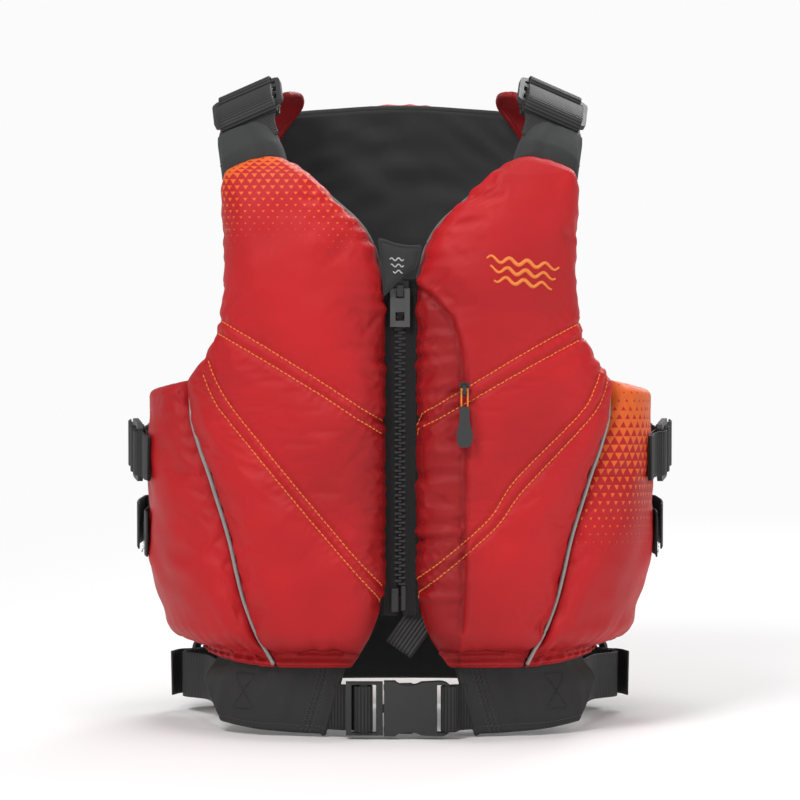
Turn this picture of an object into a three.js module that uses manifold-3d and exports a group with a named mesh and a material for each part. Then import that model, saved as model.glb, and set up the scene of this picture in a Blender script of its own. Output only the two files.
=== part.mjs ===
// Foam paddling life jacket: two front halves joined by a zip, side panels, a one-piece back,
// webbing adjusters and a waist belt with a buckle.
// Millimetres. +Z up, the wearer faces -Y, +X is the wearer's left. The origin is on the floor
// under the middle of the jacket.
import * as THREE from "three";
import Module from "manifold-3d";
import { mergeVertices } from "three/addons/utils/BufferGeometryUtils.js";

const wasm = await Module();
wasm.setup();
const { degToRad, radToDeg, lerp, smoothstep } = THREE.MathUtils;

// ---------------------------------------------------------------- driving dimensions
const TORSO_HALF_WIDTH = 173; // the space the wearer fills
const TORSO_HALF_DEPTH = 103; // below the tapers at the top
const TORSO_SQUARENESS = 2.6; // exponent of the plan section; 2 is an ellipse
const CENTRE_SHIFT = 1.9; // puts the origin under the middle of the overall box
const FRONT_THICKNESS = 39; // panel thicknesses over the foam
const SIDE_THICKNESS = 34;
const BACK_THICKNESS = 35;
const SEAM_HEIGHT = 23; // cover height at the seam between the front and side panels
const EDGE_HEIGHT = 5.5; // cover height at a sewn edge
const COVER = 1.4; // nylon cover with its coating and seams
const LINER = 1.2;
const LAYER_GAP = 0.45;
const WEB_WIDTH = 38; // belt and side webbing
const SHOULDER_WEB_WIDTH = 50;
const WEB_THICKNESS = 1.8;

// ---------------------------------------------------------------- materials
const material = (options) => new THREE.MeshStandardMaterial({ metalness: 0, ...options });
const RED = material({ color: 0xc43035, roughness: 0.55 });
const DARK = material({ color: 0x393939, roughness: 0.8 });
const WEBBING = material({ color: 0x303030, roughness: 0.75 });
const PLASTIC = material({ color: 0x2d2d2e, roughness: 0.45 });
const FOAM = material({ color: 0xe8e4d8, roughness: 0.9 });
const GREY = material({ color: 0x7d8080, roughness: 0.4 });
const CORD = material({ color: 0xe07a1e, roughness: 0.6 });
const ZIPPER = material({ color: 0x262626, roughness: 0.5 });

// ---------------------------------------------------------------- adding meshes
const group = new THREE.Group();
group.position.set(0, CENTRE_SHIFT, 0);

function add(name, geometry, surface) {
  const mesh = new THREE.Mesh(geometry, surface);
  mesh.name = name;
  group.add(mesh);
}

// Positions only, with coincident vertices merged.
function welded(geometry, tolerance = 1e-4) {
  const flat = geometry.index ? geometry.toNonIndexed() : geometry;
  const bare = new THREE.BufferGeometry();
  bare.setAttribute("position", flat.getAttribute("position"));
  return mergeVertices(bare, tolerance);
}

function mirrorX(geometry) {
  const mirrored = geometry.clone().scale(-1, 1, 1);
  const index = mirrored.index.array;
  for (let i = 0; i < index.length; i += 3) {
    [index[i + 1], index[i + 2]] = [index[i + 2], index[i + 1]];
  }
  return mirrored;
}

// The geometry is the wearer's left piece; the right one is its mirror image.
function addPair(name, geometry, surface) {
  const left = geometry.index ? geometry : welded(geometry);
  add(`${name}_left`, left, surface);
  add(`${name}_right`, mirrorX(left), surface);
}

// ---------------------------------------------------------------- solids from vertices
const vec = (x, y, z) => new THREE.Vector3(x, y, z);

// A closed solid, turned so that its triangles face outwards.
function solid(points, triangles) {
  let volume = 0;
  for (const [a, b, c] of triangles) {
    volume += points[a].dot(points[b].clone().cross(points[c])) / 6;
  }
  const facing = volume < 0 ? triangles.map(([a, b, c]) => [a, c, b]) : triangles;
  const positions = new Float32Array(points.flatMap((point) => point.toArray()));
  const geometry = new THREE.BufferGeometry();
  geometry.setAttribute("position", new THREE.BufferAttribute(positions, 3));
  geometry.setIndex(facing.flat());
  return geometry;
}

// A curved slab over a grid: place(across, up, height), with height from bottom to top, both
// functions of (across, up).
function slab(place, acrossSteps, upSteps, bottom, top) {
  const columns = acrossSteps.length;
  const rows = upSteps.length;
  const points = [];
  const triangles = [];
  for (const face of [top, bottom]) {
    for (const up of upSteps) {
      for (const across of acrossSteps) points.push(place(across, up, face(across, up)));
    }
  }
  const at = (layer, i, j) => (layer * rows + j) * columns + i;
  const quad = (a, b, c, d) => triangles.push([a, b, c], [a, c, d]);
  const wall = (i, j, nextI, nextJ) =>
    quad(at(0, i, j), at(0, nextI, nextJ), at(1, nextI, nextJ), at(1, i, j));
  for (let j = 0; j + 1 < rows; j++) {
    for (let i = 0; i + 1 < columns; i++) {
      quad(at(0, i, j), at(0, i + 1, j), at(0, i + 1, j + 1), at(0, i, j + 1));
      quad(at(1, i, j), at(1, i, j + 1), at(1, i + 1, j + 1), at(1, i + 1, j));
    }
  }
  for (let i = 0; i + 1 < columns; i++) {
    wall(i + 1, 0, i, 0);
    wall(i, rows - 1, i + 1, rows - 1);
  }
  for (let j = 0; j + 1 < rows; j++) {
    wall(0, j, 0, j + 1);
    wall(columns - 1, j + 1, columns - 1, j);
  }
  return solid(points, triangles);
}

// A solid through rings of equally many points, with flat ends.
function loft(rings) {
  const sides = rings[0].length;
  const last = (rings.length - 1) * sides;
  const triangles = [];
  for (let i = 0; i + 1 < rings.length; i++) {
    for (let j = 0; j < sides; j++) {
      const a = i * sides + j;
      const b = i * sides + ((j + 1) % sides);
      triangles.push([a, b, b + sides], [a, b + sides, a + sides]);
    }
  }
  for (let j = 1; j + 1 < sides; j++) {
    triangles.push([0, j + 1, j], [last, last + j, last + j + 1]);
  }
  return solid(rings.flat(), triangles);
}

// A five-sided rod along a list of points.
function rod(points, radius) {
  const sides = 5;
  return loft(points.map((point, i) => {
    const next = points[Math.min(points.length - 1, i + 1)];
    const along = next.clone().sub(points[Math.max(0, i - 1)]).normalize();
    const first = along.clone().cross(vec(0, 1, 0.01)).normalize();
    const second = along.clone().cross(first);
    return Array.from({ length: sides }, (_, j) => {
      const turn = (2 * Math.PI * j) / sides;
      return point.clone()
        .addScaledVector(first, radius * Math.cos(turn))
        .addScaledVector(second, radius * Math.sin(turn));
    });
  }));
}

// ---------------------------------------------------------------- solids from outlines
// Steps of an outline: two numbers are a point reached by a line; four numbers are the control
// point and the end point of a curve.
function outline(steps) {
  const shape = new THREE.Shape();
  shape.moveTo(...steps[0]);
  for (const step of steps.slice(1)) {
    if (step.length === 2) shape.lineTo(...step);
    else shape.quadraticCurveTo(...step);
  }
  return shape;
}

const extrude = (shape, depth, curveSegments = 4) =>
  new THREE.ExtrudeGeometry(shape, { depth, bevelEnabled: false, curveSegments });

// A plate whose outline is in (x, z), reaching forwards (-Y) from y = back.
const plate = (shape, { thickness, back }) =>
  extrude(shape, thickness).rotateX(Math.PI / 2).translate(0, back, 0);

// Moves local (x, y, z) to the frame's (along, off, across), where off is across x along.
function placed(geometry, { origin, along, across }) {
  const xAxis = along.clone().normalize();
  const zAxis = across.clone().addScaledVector(xAxis, -across.dot(xAxis)).normalize();
  const yAxis = zAxis.clone().cross(xAxis);
  const matrix = new THREE.Matrix4().makeBasis(xAxis, yAxis, zAxis).setPosition(origin);
  return geometry.applyMatrix4(matrix);
}

// Folded webbing: a path of [along, off] points, thickened to its left.
function foldedWeb(path, width, frame) {
  const direction = (from, to) => new THREE.Vector2(to[0] - from[0], to[1] - from[1]);
  const offset = path.map((point, i) => {
    const before = direction(path[Math.max(0, i - 1)], point);
    const after = direction(point, path[Math.min(path.length - 1, i + 1)]);
    if (before.length() < 1e-9) before.copy(after);
    if (after.length() < 1e-9) after.copy(before);
    before.normalize();
    after.normalize();
    const normalBefore = new THREE.Vector2(-before.y, before.x);
    const normalAfter = new THREE.Vector2(-after.y, after.x);
    const mitre = normalBefore.clone().add(normalAfter).normalize();
    const reach = WEB_THICKNESS / Math.max(0.5, mitre.dot(normalBefore));
    return [point[0] + mitre.x * reach, point[1] + mitre.y * reach];
  });
  const strip = extrude(outline([...path, ...offset.reverse()]), width);
  return placed(strip.translate(0, 0, -width / 2), frame);
}

// ---------------------------------------------------------------- joining and cutting
function toManifold(geometry) {
  const merged = welded(geometry, 1e-3);
  return new wasm.Manifold(new wasm.Mesh({
    numProp: 3,
    vertProperties: merged.attributes.position.array,
    triVerts: new Uint32Array(merged.index.array),
  }));
}

function fromManifold(manifold) {
  const mesh = manifold.getMesh();
  const positions = new Float32Array(mesh.numVert * 3);
  for (let i = 0; i < mesh.numVert; i++) {
    const start = i * mesh.numProp;
    positions.set(mesh.vertProperties.subarray(start, start + 3), i * 3);
  }
  return new THREE.BufferGeometry()
    .setAttribute("position", new THREE.BufferAttribute(positions, 3))
    .setIndex(new THREE.BufferAttribute(mesh.triVerts, 1));
}

const join = (...parts) => fromManifold(parts.map(toManifold).reduce((a, b) => a.add(b)));
const cut = (body, ...tools) =>
  fromManifold(tools.map(toManifold).reduce((a, b) => a.subtract(b), toManifold(body)));

const both = (half) => [-half, half];
function box([x0, x1], [y0, y1], [z0, z1]) {
  const geometry = new THREE.BoxGeometry(x1 - x0, y1 - y0, z1 - z0);
  return geometry.translate((x0 + x1) / 2, (y0 + y1) / 2, (z0 + z1) / 2);
}

// ---------------------------------------------------------------- the torso
// Half depth of the torso against height: [z, half depth]
const FRONT_DEPTHS = [
  [0, TORSO_HALF_DEPTH], [376, TORSO_HALF_DEPTH], [405, 101], [425, 97.5], [445, 91],
  [462, 82], [476, 71], [488, 58], [500, 42],
];
const REAR_DEPTHS = [[0, TORSO_HALF_DEPTH], [430, TORSO_HALF_DEPTH], [470, 101], [505, 95]];

function depthAt(table, z) {
  if (z <= table[0][0]) return table[0][1];
  for (let i = 1; i < table.length; i++) {
    if (z <= table[i][0]) {
      const [z0, depth0] = table[i - 1];
      const [z1, depth1] = table[i];
      return depth0 + ((depth1 - depth0) * (z - z0)) / (z1 - z0);
    }
  }
  return table[table.length - 1][1];
}

// The angle is in degrees: 0 at the middle of the front, 90 at the wearer's left side and 180 at
// the middle of the back.
function torso(angle, z) {
  const sine = Math.sin(degToRad(angle));
  const cosine = Math.cos(degToRad(angle));
  const power = 2 / TORSO_SQUARENESS;
  const halfDepth = depthAt(cosine > 0 ? FRONT_DEPTHS : REAR_DEPTHS, z);
  return vec(
    TORSO_HALF_WIDTH * Math.sign(sine) * Math.abs(sine) ** power,
    -halfDepth * Math.sign(cosine) * Math.abs(cosine) ** power,
    z,
  );
}

function torsoNormal(angle, z) {
  const around = torso(angle + 0.4, z).sub(torso(angle - 0.4, z));
  const upward = torso(angle, z + 3).sub(torso(angle, z - 3));
  return around.cross(upward).normalize();
}

const offTorso = (angle, z, height) =>
  torso(angle, z).addScaledVector(torsoNormal(angle, z), height);

// The angle at which the front of the torso has a given x.
const frontAngle = (x) =>
  radToDeg(Math.asin(Math.min(1, (Math.abs(x) / TORSO_HALF_WIDTH) ** (TORSO_SQUARENESS / 2))));

// ---------------------------------------------------------------- nets on the torso
const catmullRom = (before, from, to, after, part) =>
  0.5 * (2 * from + (to - before) * part
    + (2 * before - 5 * from + 4 * to - after) * part ** 2
    + (3 * from - before - 3 * to + after) * part ** 3);

// Position of a fraction 0..1 among the stations of a list: the station below and the rest.
function locate(count, fraction) {
  const scaled = fraction * (count - 1);
  const below = Math.min(count - 2, Math.floor(scaled));
  return [below, scaled - below];
}

// A net is a list of rows from bottom to top, each a list of [angle, z] points from one side edge
// to the other. It gives [angle, z] at any (across, up) from 0 to 1.
function net(rows) {
  const along = (list, fraction) => {
    const [below, part] = locate(list.length, fraction);
    const at = (k) => list[Math.max(0, Math.min(list.length - 1, k))];
    const near = [-1, 0, 1, 2].map((k) => at(below + k));
    return [0, 1].map((axis) => catmullRom(...near.map((point) => point[axis]), part));
  };
  return (across, up) => along(rows.map((row) => along(row, across)), up);
}

// A net on the front, from rows of [x, z] points.
const frontNet = (rows) => net(rows.map((row) => row.map(([x, z]) => [frontAngle(x), z])));

const placer = (surface) => (across, up, height) => offTorso(...surface(across, up), height);

// ---------------------------------------------------------------- foam panels
const FOAM_BOTTOM = LINER + 2 * LAYER_GAP + 0.8;
const FOAM_TOP_GAP = 2.7; // from the inside of the cover
const FOAM_LOWEST_TOP = 3.6;

const freeEdge = () => EDGE_HEIGHT;

// Cover height over a panel: it rises from its four borders over a rounded shoulder. The borders
// are at across 0, across 1, up 0 and up 1, each with the shoulder's width and the height at the
// border; a seam between two foam panels stands higher than a free edge.
function crown(surface, thickness, borders) {
  const distance = (across0, up0, across1, up1) => {
    const pieces = 8;
    let length = 0;
    let last = null;
    for (let k = 0; k <= pieces; k++) {
      const across = across0 + ((across1 - across0) * k) / pieces;
      const up = up0 + ((up1 - up0) * k) / pieces;
      const point = torso(...surface(across, up));
      if (last) length += point.distanceTo(last);
      last = point;
    }
    return length;
  };
  const round = (x) => Math.sqrt(1 - (1 - Math.min(1, x)) ** 2);
  return (across, up) => {
    const spans = [[0, up, across, up], [across, up, 1, up], [across, 0, across, up],
      [across, up, across, 1]];
    let height = thickness;
    borders.forEach(({ width, seam = freeEdge }, i) => {
      const edge = seam(across, up) / thickness;
      height *= edge + (1 - edge) * round(distance(...spans[i]) / width);
    });
    return Math.max(EDGE_HEIGHT, height);
  };
}

// Adds a panel's cover, foam and liner, and returns its cover height as a function.
function addPanel(name, { surface, thickness, borders, across, up, paired = true, lined = true }) {
  const place = placer(surface);
  const height = crown(surface, thickness, borders);
  const addPiece = paired ? addPair : add;
  const foamTop = (...at) => Math.max(FOAM_LOWEST_TOP, height(...at) - COVER - FOAM_TOP_GAP);
  const foamUp = up.slice(paired ? 1 : 2, -1);
  const cover = slab(place, across, up, (...at) => height(...at) - COVER, height);
  const foam = slab(place, across.slice(1, -1), foamUp, () => FOAM_BOTTOM, foamTop);
  addPiece(`${name}_cover`, cover, RED);
  addPiece(`${name}_foam`, foam, FOAM);
  if (lined) {
    const alternate = (steps) => steps.filter((_, i) => i % 2 === 0);
    const liner = slab(place, alternate(across), alternate(up), () => 0, () => LINER);
    addPiece(`${name}_liner`, liner, DARK);
  }
  return height;
}

// Edges of a front panel, bottom to top: [inner x, inner z, outer x, outer z]
const FRONT_ROWS = [
  [40, 59, 98, 58], [25, 82, 109, 84], [16, 108, 117, 110], [13.8, 135, 122, 135],
  [13.8, 158, 126, 158], [13.8, 180, 131, 180], [13.8, 203, 137, 203], [13.8, 226, 143, 226],
  [13.8, 250, 149, 248], [13.8, 275, 154, 270], [13.8, 300, 157, 289], [13.8, 325, 147, 311],
  [13.8, 350, 139, 334], [15.5, 375, 136, 360], [21, 400, 135.5, 386], [33, 420, 136, 408],
  [51, 436, 136.5, 426], [70, 452, 136, 441], [92, 471, 134, 456],
];
const frontSurface = frontNet(FRONT_ROWS.map(([innerX, innerZ, outerX, outerZ]) => {
  const topRise = innerZ > 440 ? 4 : 0; // the top rows bow upwards
  const middle = [innerX + (outerX - innerX) * 0.5, (innerZ + outerZ) / 2 + topRise];
  return [[innerX, innerZ], middle, [outerX, outerZ]];
}));
// The outer border is a seam low down and the free front edge of the armhole above.
const frontOuterSeam = (across, up) =>
  lerp(SEAM_HEIGHT, EDGE_HEIGHT, smoothstep(up, 0.45, 0.56));
addPanel("front", {
  surface: frontSurface,
  thickness: FRONT_THICKNESS,
  borders: [{ width: 30 }, { width: 30, seam: frontOuterSeam }, { width: 26 }, { width: 24 }],
  across: [0, 0.06, 0.17, 0.34, 0.55, 0.75, 0.9, 0.97, 1],
  up: [0, 0.025, 0.07, 0.15, 0.25, 0.36, 0.47, 0.56, 0.64, 0.72, 0.8, 0.87, 0.93, 0.975, 1],
});

// Front edge of a side panel, along the front panel and then at the armhole: [x, z]
const SIDE_FRONT = [
  ...FRONT_ROWS.slice(0, 10).map(([, , outerX, outerZ]) => [outerX, outerZ]),
  [158, 288], [158, 290],
];
// Rear edge of a side panel, row by row with SIDE_FRONT: [angle, z]
const SIDE_REAR = [
  [84, 62], [93, 72], [97, 90], [98, 110], [98, 135], [97.5, 158], [96.8, 180], [96, 203],
  [95.5, 226], [94.5, 250], [92.5, 268], [89.5, 279],
];
const SIDE_SEAM_GAP = 1.3; // degrees between the front and side panels
const sideSurface = net(SIDE_REAR.map(([rearAngle, rearZ], i) => {
  const [x, z] = SIDE_FRONT[i];
  const angle = frontAngle(x) + SIDE_SEAM_GAP;
  const middle = [angle + (rearAngle - angle) * 0.5, z + (rearZ - z) * 0.6];
  return [[angle, z], middle, [rearAngle, rearZ]];
}));
const sideHeight = addPanel("side", {
  surface: sideSurface,
  thickness: SIDE_THICKNESS,
  borders: [{ width: 16, seam: () => SEAM_HEIGHT }, { width: 20 }, { width: 26 }, { width: 13 }],
  across: [0, 0.12, 0.35, 0.62, 0.88, 1],
  up: [0, 0.045, 0.14, 0.28, 0.45, 0.62, 0.78, 0.9, 0.97, 1],
  lined: false,
});

// Back panel, bottom to top: [angle of the left edge, z at the edges, z at the middle]
const BACK_ROWS = [
  [138, 86, 76], [118, 96, 92], [108.5, 113, 112], [106, 136, 136], [105.5, 165, 165],
  [105.5, 195, 195], [106.5, 222, 222], [113, 250, 250], [123.5, 275, 278], [129.5, 300, 304],
  [132, 325, 330], [133.8, 352, 357], [135.3, 380, 385], [136, 405, 412], [140, 432, 440],
  [146, 462, 470], [153.5, 493, 498],
];
const backSurface = net(BACK_ROWS.map(([angle, edgeZ, middleZ]) => {
  const quarter = angle + (180 - angle) * 0.5;
  const quarterZ = (edgeZ + middleZ) / 2;
  return [
    [angle, edgeZ], [quarter, quarterZ], [180, middleZ], [360 - quarter, quarterZ],
    [360 - angle, edgeZ],
  ];
}));
const backHeight = addPanel("back", {
  surface: backSurface,
  thickness: BACK_THICKNESS,
  borders: [{ width: 30 }, { width: 30 }, { width: 26 }, { width: 26 }],
  across: [0, 0.025, 0.07, 0.14, 0.25, 0.38, 0.5, 0.62, 0.75, 0.86, 0.93, 0.975, 1],
  up: [0, 0.022, 0.06, 0.13, 0.22, 0.32, 0.42, 0.5, 0.6, 0.7, 0.8, 0.88, 0.94, 0.98, 1],
  paired: false,
});

// ---------------------------------------------------------------- shoulders
// Cap on the top edge of a front panel.
function shoulderCap() {
  const surface = frontNet([ // [x, z]
    [[93, 476], [113, 473.5], [135, 461.5]],
    [[97, 482], [117, 479], [139.5, 469.5]],
    [[101, 488], [122, 484.5], [144, 477]],
  ]);
  const edgeHeight = 7;
  const rise = 11;
  const top = (across, up) =>
    edgeHeight + rise * Math.sin(Math.PI * (across * 0.9 + 0.05)) * (1 - 0.55 * up);
  return slab(placer(surface), [0, 0.12, 0.5, 0.88, 1], [0, 0.35, 0.7, 1], () => 1.6, top);
}
addPair("shoulder_cap", shoulderCap(), DARK);

// Strap from the back panel over the shoulder, widening on its way.
function shoulderStrap() {
  const stations = [ // [centre, direction across, direction off the face, width]
    [[144, 86, 418], [1, 0.1, 0], [0.2, 1, 0], 10],
    [[140, 90, 438], [1, 0.05, 0], [0.1, 1, 0], 24],
    [[136, 92, 460], [1, 0.02, -0.03], [0.05, 1, 0.08], 36],
    [[131, 88, 482], [1, 0, -0.08], [0.05, 0.9, 0.4], 50],
    [[123.5, 75, 498], [1, 0, -0.15], [0.12, 0.6, 0.8], 60],
    [[123, 52, 507], [1, 0, -0.25], [0.22, 0.2, 1], 64],
    [[123.5, 25, 508.5], [1, 0, -0.35], [0.33, -0.1, 1], 64],
  ];
  const place = (across, up, height) => {
    const [below, part] = locate(stations.length, up);
    const from = stations[below];
    const to = stations[below + 1];
    const blend = (column) => vec(...from[column]).lerp(vec(...to[column]), part);
    const width = from[3] + (to[3] - from[3]) * part;
    return blend(0)
      .addScaledVector(blend(1).normalize(), (across - 0.5) * width)
      .addScaledVector(blend(2).normalize(), height);
  };
  const upSteps = stations.map((_, i) => i / (stations.length - 1));
  const top = (across) => (across === 0 || across === 1 ? 0 : 2.6);
  return slab(place, [0, 0.12, 0.5, 0.88, 1], upSteps, () => -3.2, top);
}
addPair("shoulder_strap", shoulderStrap(), RED);

// ---------------------------------------------------------------- ladder locks
// In a lock's frame the rounded tongue points to -along.
const LOCK_THICKNESS = 4.2;
const LOCK_RIM = 5.2; // from the webbing's edge to the lock's side
const LOCK_SLOTS = [[-14.5, -6, 0.9], [0, 9.5, 1.3], [16, 20.3, 1.1]]; // [start, end, side gap]

function ladderLock(webWidth, frame) {
  const side = webWidth / 2 + LOCK_RIM;
  const shape = outline([
    [-15, -side], [20, -side], [28, -side, 28, -side + 9],
    [28, side - 9], [28, side, 20, side],
    [-15, side], [-20, side, -21, side - 8], [-29, side - 14, -29, 0],
    [-29, -side + 14, -21, -side + 8], [-20, -side, -15, -side],
  ]);
  for (const [start, end, gap] of LOCK_SLOTS) {
    const half = webWidth / 2 + gap;
    shape.holes.push(outline([
      [start, -half], [start, half], [end, half], [end, -half], [start, -half],
    ]));
  }
  // The plate's thickness is turned to stand off the face.
  return placed(extrude(shape, LOCK_THICKNESS, 3).rotateX(-Math.PI / 2), frame);
}

// Webbing paths through a lock: [along, off the face]
const SHOULDER_FOLD = [
  [-8.6, -4.2], [-8.6, 2.8], [-7.4, 5.0], [-4, 6.2], [1, 6.2], [3.0, 4.6], [3.0, -3.0],
];
const LOCK_FOLD = [
  [-8.6, -3.2], [-8.6, 3.2], [-7.2, 4.8], [1.4, 4.8], [2.8, 3.2], [2.8, -3.2],
];

const SHOULDER_FRAME = {
  origin: vec(123.5, -10, 507.5),
  along: vec(0.06, 0.88, 0.3),
  across: vec(0.9, 0, -0.43),
};
addPair("shoulder_lock", ladderLock(SHOULDER_WEB_WIDTH, SHOULDER_FRAME), PLASTIC);
addPair(
  "shoulder_strap_fold",
  foldedWeb(SHOULDER_FOLD, SHOULDER_WEB_WIDTH - 1, SHOULDER_FRAME),
  WEBBING,
);

const ADJUSTERS = [
  { // carried by the side panels
    lock: "upper_side_lock", web: "upper_side_web",
    origin: vec(214, 10, 224), along: vec(-0.12, -0.99, 0), across: vec(0, 0, 1),
  },
  { // at the ends of the back cinch strap
    lock: "back_lock", web: "back_lock_web",
    origin: vec(184, 103, 159), along: vec(-0.8, 0.6, 0), across: vec(0, 0, -1),
  },
  { // on the waist belt
    lock: "belt_lock", web: "belt_lock_web",
    origin: vec(153, 92, 32.4), along: vec(-0.86, 0.51, 0.03), across: vec(0.03, 0, -1),
  },
];
for (const { lock, web, ...frame } of ADJUSTERS) {
  addPair(lock, ladderLock(WEB_WIDTH, frame), PLASTIC);
  addPair(web, foldedWeb(LOCK_FOLD, WEB_WIDTH, frame), WEBBING);
}

// ---------------------------------------------------------------- straps round the body
// Upright webbing through stations of [angle, z, height off the torso].
function webAround(stations) {
  const halfWidth = vec(0, 0, WEB_WIDTH / 2);
  return loft(stations.map(([angle, z, height]) => {
    const centre = offTorso(angle, z, height);
    const outward = torsoNormal(angle, z).setZ(0).setLength(WEB_THICKNESS / 2);
    return [[1, 1], [-1, 1], [-1, -1], [1, -1]].map(([upSide, outSide]) =>
      centre.clone().addScaledVector(halfWidth, upSide).addScaledVector(outward, outSide));
  }));
}

// Cinch strap across the back, lying on the cover.
function cinchStrap() {
  const up = 0.285; // level in the back panel's net where the cover's height is read
  return webAround([0.14, 0.2, 0.27, 0.38, 0.5, 0.62, 0.73, 0.8, 0.86].map((across) => {
    const [angle] = backSurface(across, up);
    return [angle, 159, backHeight(across, up) + 2.6];
  }));
}
add("back_cinch_strap", cinchStrap(), WEBBING);

// Panel at the back of the waist, inside the lower hem.
function waistPanel() {
  const surface = net([ // [angle, z]
    [[152, 26], [166, 24.5], [180, 24], [194, 24.5], [208, 26]],
    [[150, 60], [165, 60], [180, 60], [195, 60], [210, 60]],
    [[145.5, 96], [162, 92], [180, 90], [198, 92], [214.5, 96]],
  ]);
  const acrossSteps = [0, 0.12, 0.25, 0.5, 0.75, 0.88, 1];
  return slab(placer(surface), acrossSteps, [0, 0.5, 1], () => -8.4, () => -5.0);
}
add("back_waist_panel", waistPanel(), DARK);

// Wing of the belt inside the front of the lower hem.
function beltWing() {
  const surface = frontNet([ // [x, z]
    [[53, 0], [92, 3], [148, 9]],
    [[50, 42], [94, 42], [160, 46]],
    [[47, 84], [98, 84], [166, 84]],
  ]);
  return slab(placer(surface), [0, 0.25, 0.5, 0.75, 1], [0, 0.5, 1], () => -5.4, () => -2.2);
}
addPair("belt_wing", beltWing(), DARK);

const BELT_SIDE = [ // [angle, z, height off the torso]
  [74, 38, -1.0], [84, 36, -0.6], [96, 34.5, -0.6], [108, 33.5, -0.6], [119, 33, 0.6],
  [127, 32.6, 3.0],
];
addPair("belt_side_strap", webAround(BELT_SIDE), WEBBING);

// ---------------------------------------------------------------- front buckle
// Built round its own middle; the socket is on the wearer's left.
const BUCKLE_CENTRE = vec(0, -106, 25);
const SOCKET_DEPTH = 9.6;
const PRONG_DEPTH = 5.2;
const THROUGH = both(8); // cuts right through in y
const BUCKLE_SLOT = both(WEB_WIDTH / 2 + 0.6); // slots for the webbing, in z

const addBucklePart = (name, geometry) =>
  add(name, geometry.translate(...BUCKLE_CENTRE.toArray()), PLASTIC);

function buckleSocket() {
  const shape = outline([ // in (x, z)
    [-13, -22.4], [-4, -22.4], [-1, -19.2, 6, -18.9], [14, -19.2, 17, -21.6],
    [32, -22.4], [38, -22.4, 41, -18],
    [41, 18], [38, 22.4, 32, 22.4],
    [17, 21.6], [14, 19.2, 6, 18.9], [-1, 19.2, -4, 22.4],
    [-13, 22.4], [-13, -22.4],
  ]);
  return cut(
    plate(shape, { thickness: SOCKET_DEPTH, back: SOCKET_DEPTH / 2 }),
    box([-14, 22], both(3.2), both(21.2)), // prong pocket, open at the mouth and both sides
    box([30.2, 36.5], THROUGH, BUCKLE_SLOT),
  );
}

function buckleTongue() {
  const ladder = cut(
    box([-44, -14], both(3.6), both(21.8)),
    box([-39.5, -32.5], THROUGH, BUCKLE_SLOT),
    box([-26.5, -19.5], THROUGH, BUCKLE_SLOT),
  );
  return join(ladder, box([-14.5, 14], both(PRONG_DEPTH / 2), both(3.2)));
}

// side is 1 for the upper prong and -1 for the lower one.
function buckleProng(side) {
  const points = [ // [x, z] of the upper prong
    [-13.4, 15.2], [-13.4, 19.4], [-3.5, 19.2], [0, 20.5], [9, 20.7], [13.5, 18.6],
    [19.5, 9.8], [17.5, 7.6], [9.5, 13.4], [0, 14.8],
  ];
  const shape = outline(points.map(([x, z]) => [x, side * z]));
  return plate(shape, { thickness: PRONG_DEPTH, back: PRONG_DEPTH / 2 });
}
addBucklePart("buckle_socket", buckleSocket());
addBucklePart("buckle_tongue", buckleTongue());
addBucklePart("buckle_prong_upper", buckleProng(1));
addBucklePart("buckle_prong_lower", buckleProng(-1));

// Webbing through the tongue's bars and round the socket's bar: [x, y] from the buckle's middle
const TONGUE_WEB = [
  [-62, 4.2], [-38.6, 4.2], [-37.6, 2.8], [-37.6, -4.6], [-36.2, -6.2], [-24.6, -6.2],
  [-23.0, -4.8], [-23.0, 2.2],
];
const SOCKET_WEB = [
  [33.1, -1.6], [33.1, -5.4], [34.6, -7.0], [43.4, -7.0], [44.8, -5.4], [44.8, 2.6],
  [46.2, 4.2], [62, 4.2],
];
const BUCKLE_FRAME = { origin: BUCKLE_CENTRE, along: vec(1, 0, 0), across: vec(0, 0, 1) };
add("belt_web_tongue", foldedWeb(TONGUE_WEB, WEB_WIDTH, BUCKLE_FRAME), WEBBING);
add("belt_web_socket", foldedWeb(SOCKET_WEB, WEB_WIDTH, BUCKLE_FRAME), WEBBING);

// ---------------------------------------------------------------- main zip
const ZIP_Y = -TORSO_HALF_DEPTH;
const ZIP_BOTTOM = 103;
const ZIP_TOP = 374;
const ZIP_HALF_GAP = 0.8; // half the space between the two rows of teeth
const TOOTH_PITCH = 6;
const TAPE_INNER = 5.4; // x of the tape's edges
const TAPE_OUTER = 13.3;
const SLIDER_Z = 366;

// Left tape with its moulded teeth and the block at the bottom.
function zipTape() {
  const teeth = Math.floor((ZIP_TOP - ZIP_BOTTOM - 26) / TOOTH_PITCH);
  const points = [[TAPE_OUTER, ZIP_BOTTOM], [TAPE_OUTER, ZIP_TOP - 3], [TAPE_INNER, ZIP_TOP]];
  for (let i = 0; i < teeth; i++) {
    const z = ZIP_TOP - 3 - i * TOOTH_PITCH;
    points.push(
      [TAPE_INNER, z],
      [ZIP_HALF_GAP, z - 0.6],
      [ZIP_HALF_GAP, z - TOOTH_PITCH / 2 + 0.5],
      [TAPE_INNER, z - TOOTH_PITCH / 2],
    );
  }
  points.push(
    [TAPE_INNER, ZIP_BOTTOM + 21], [ZIP_HALF_GAP, ZIP_BOTTOM + 21],
    [ZIP_HALF_GAP, ZIP_BOTTOM + 4], [TAPE_INNER, ZIP_BOTTOM + 4],
    [TAPE_INNER, ZIP_BOTTOM], [TAPE_OUTER, ZIP_BOTTOM],
  );
  return plate(outline(points), { thickness: 3.4, back: ZIP_Y - 0.6 });
}
addPair("zip_tape", zipTape(), ZIPPER);

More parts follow.
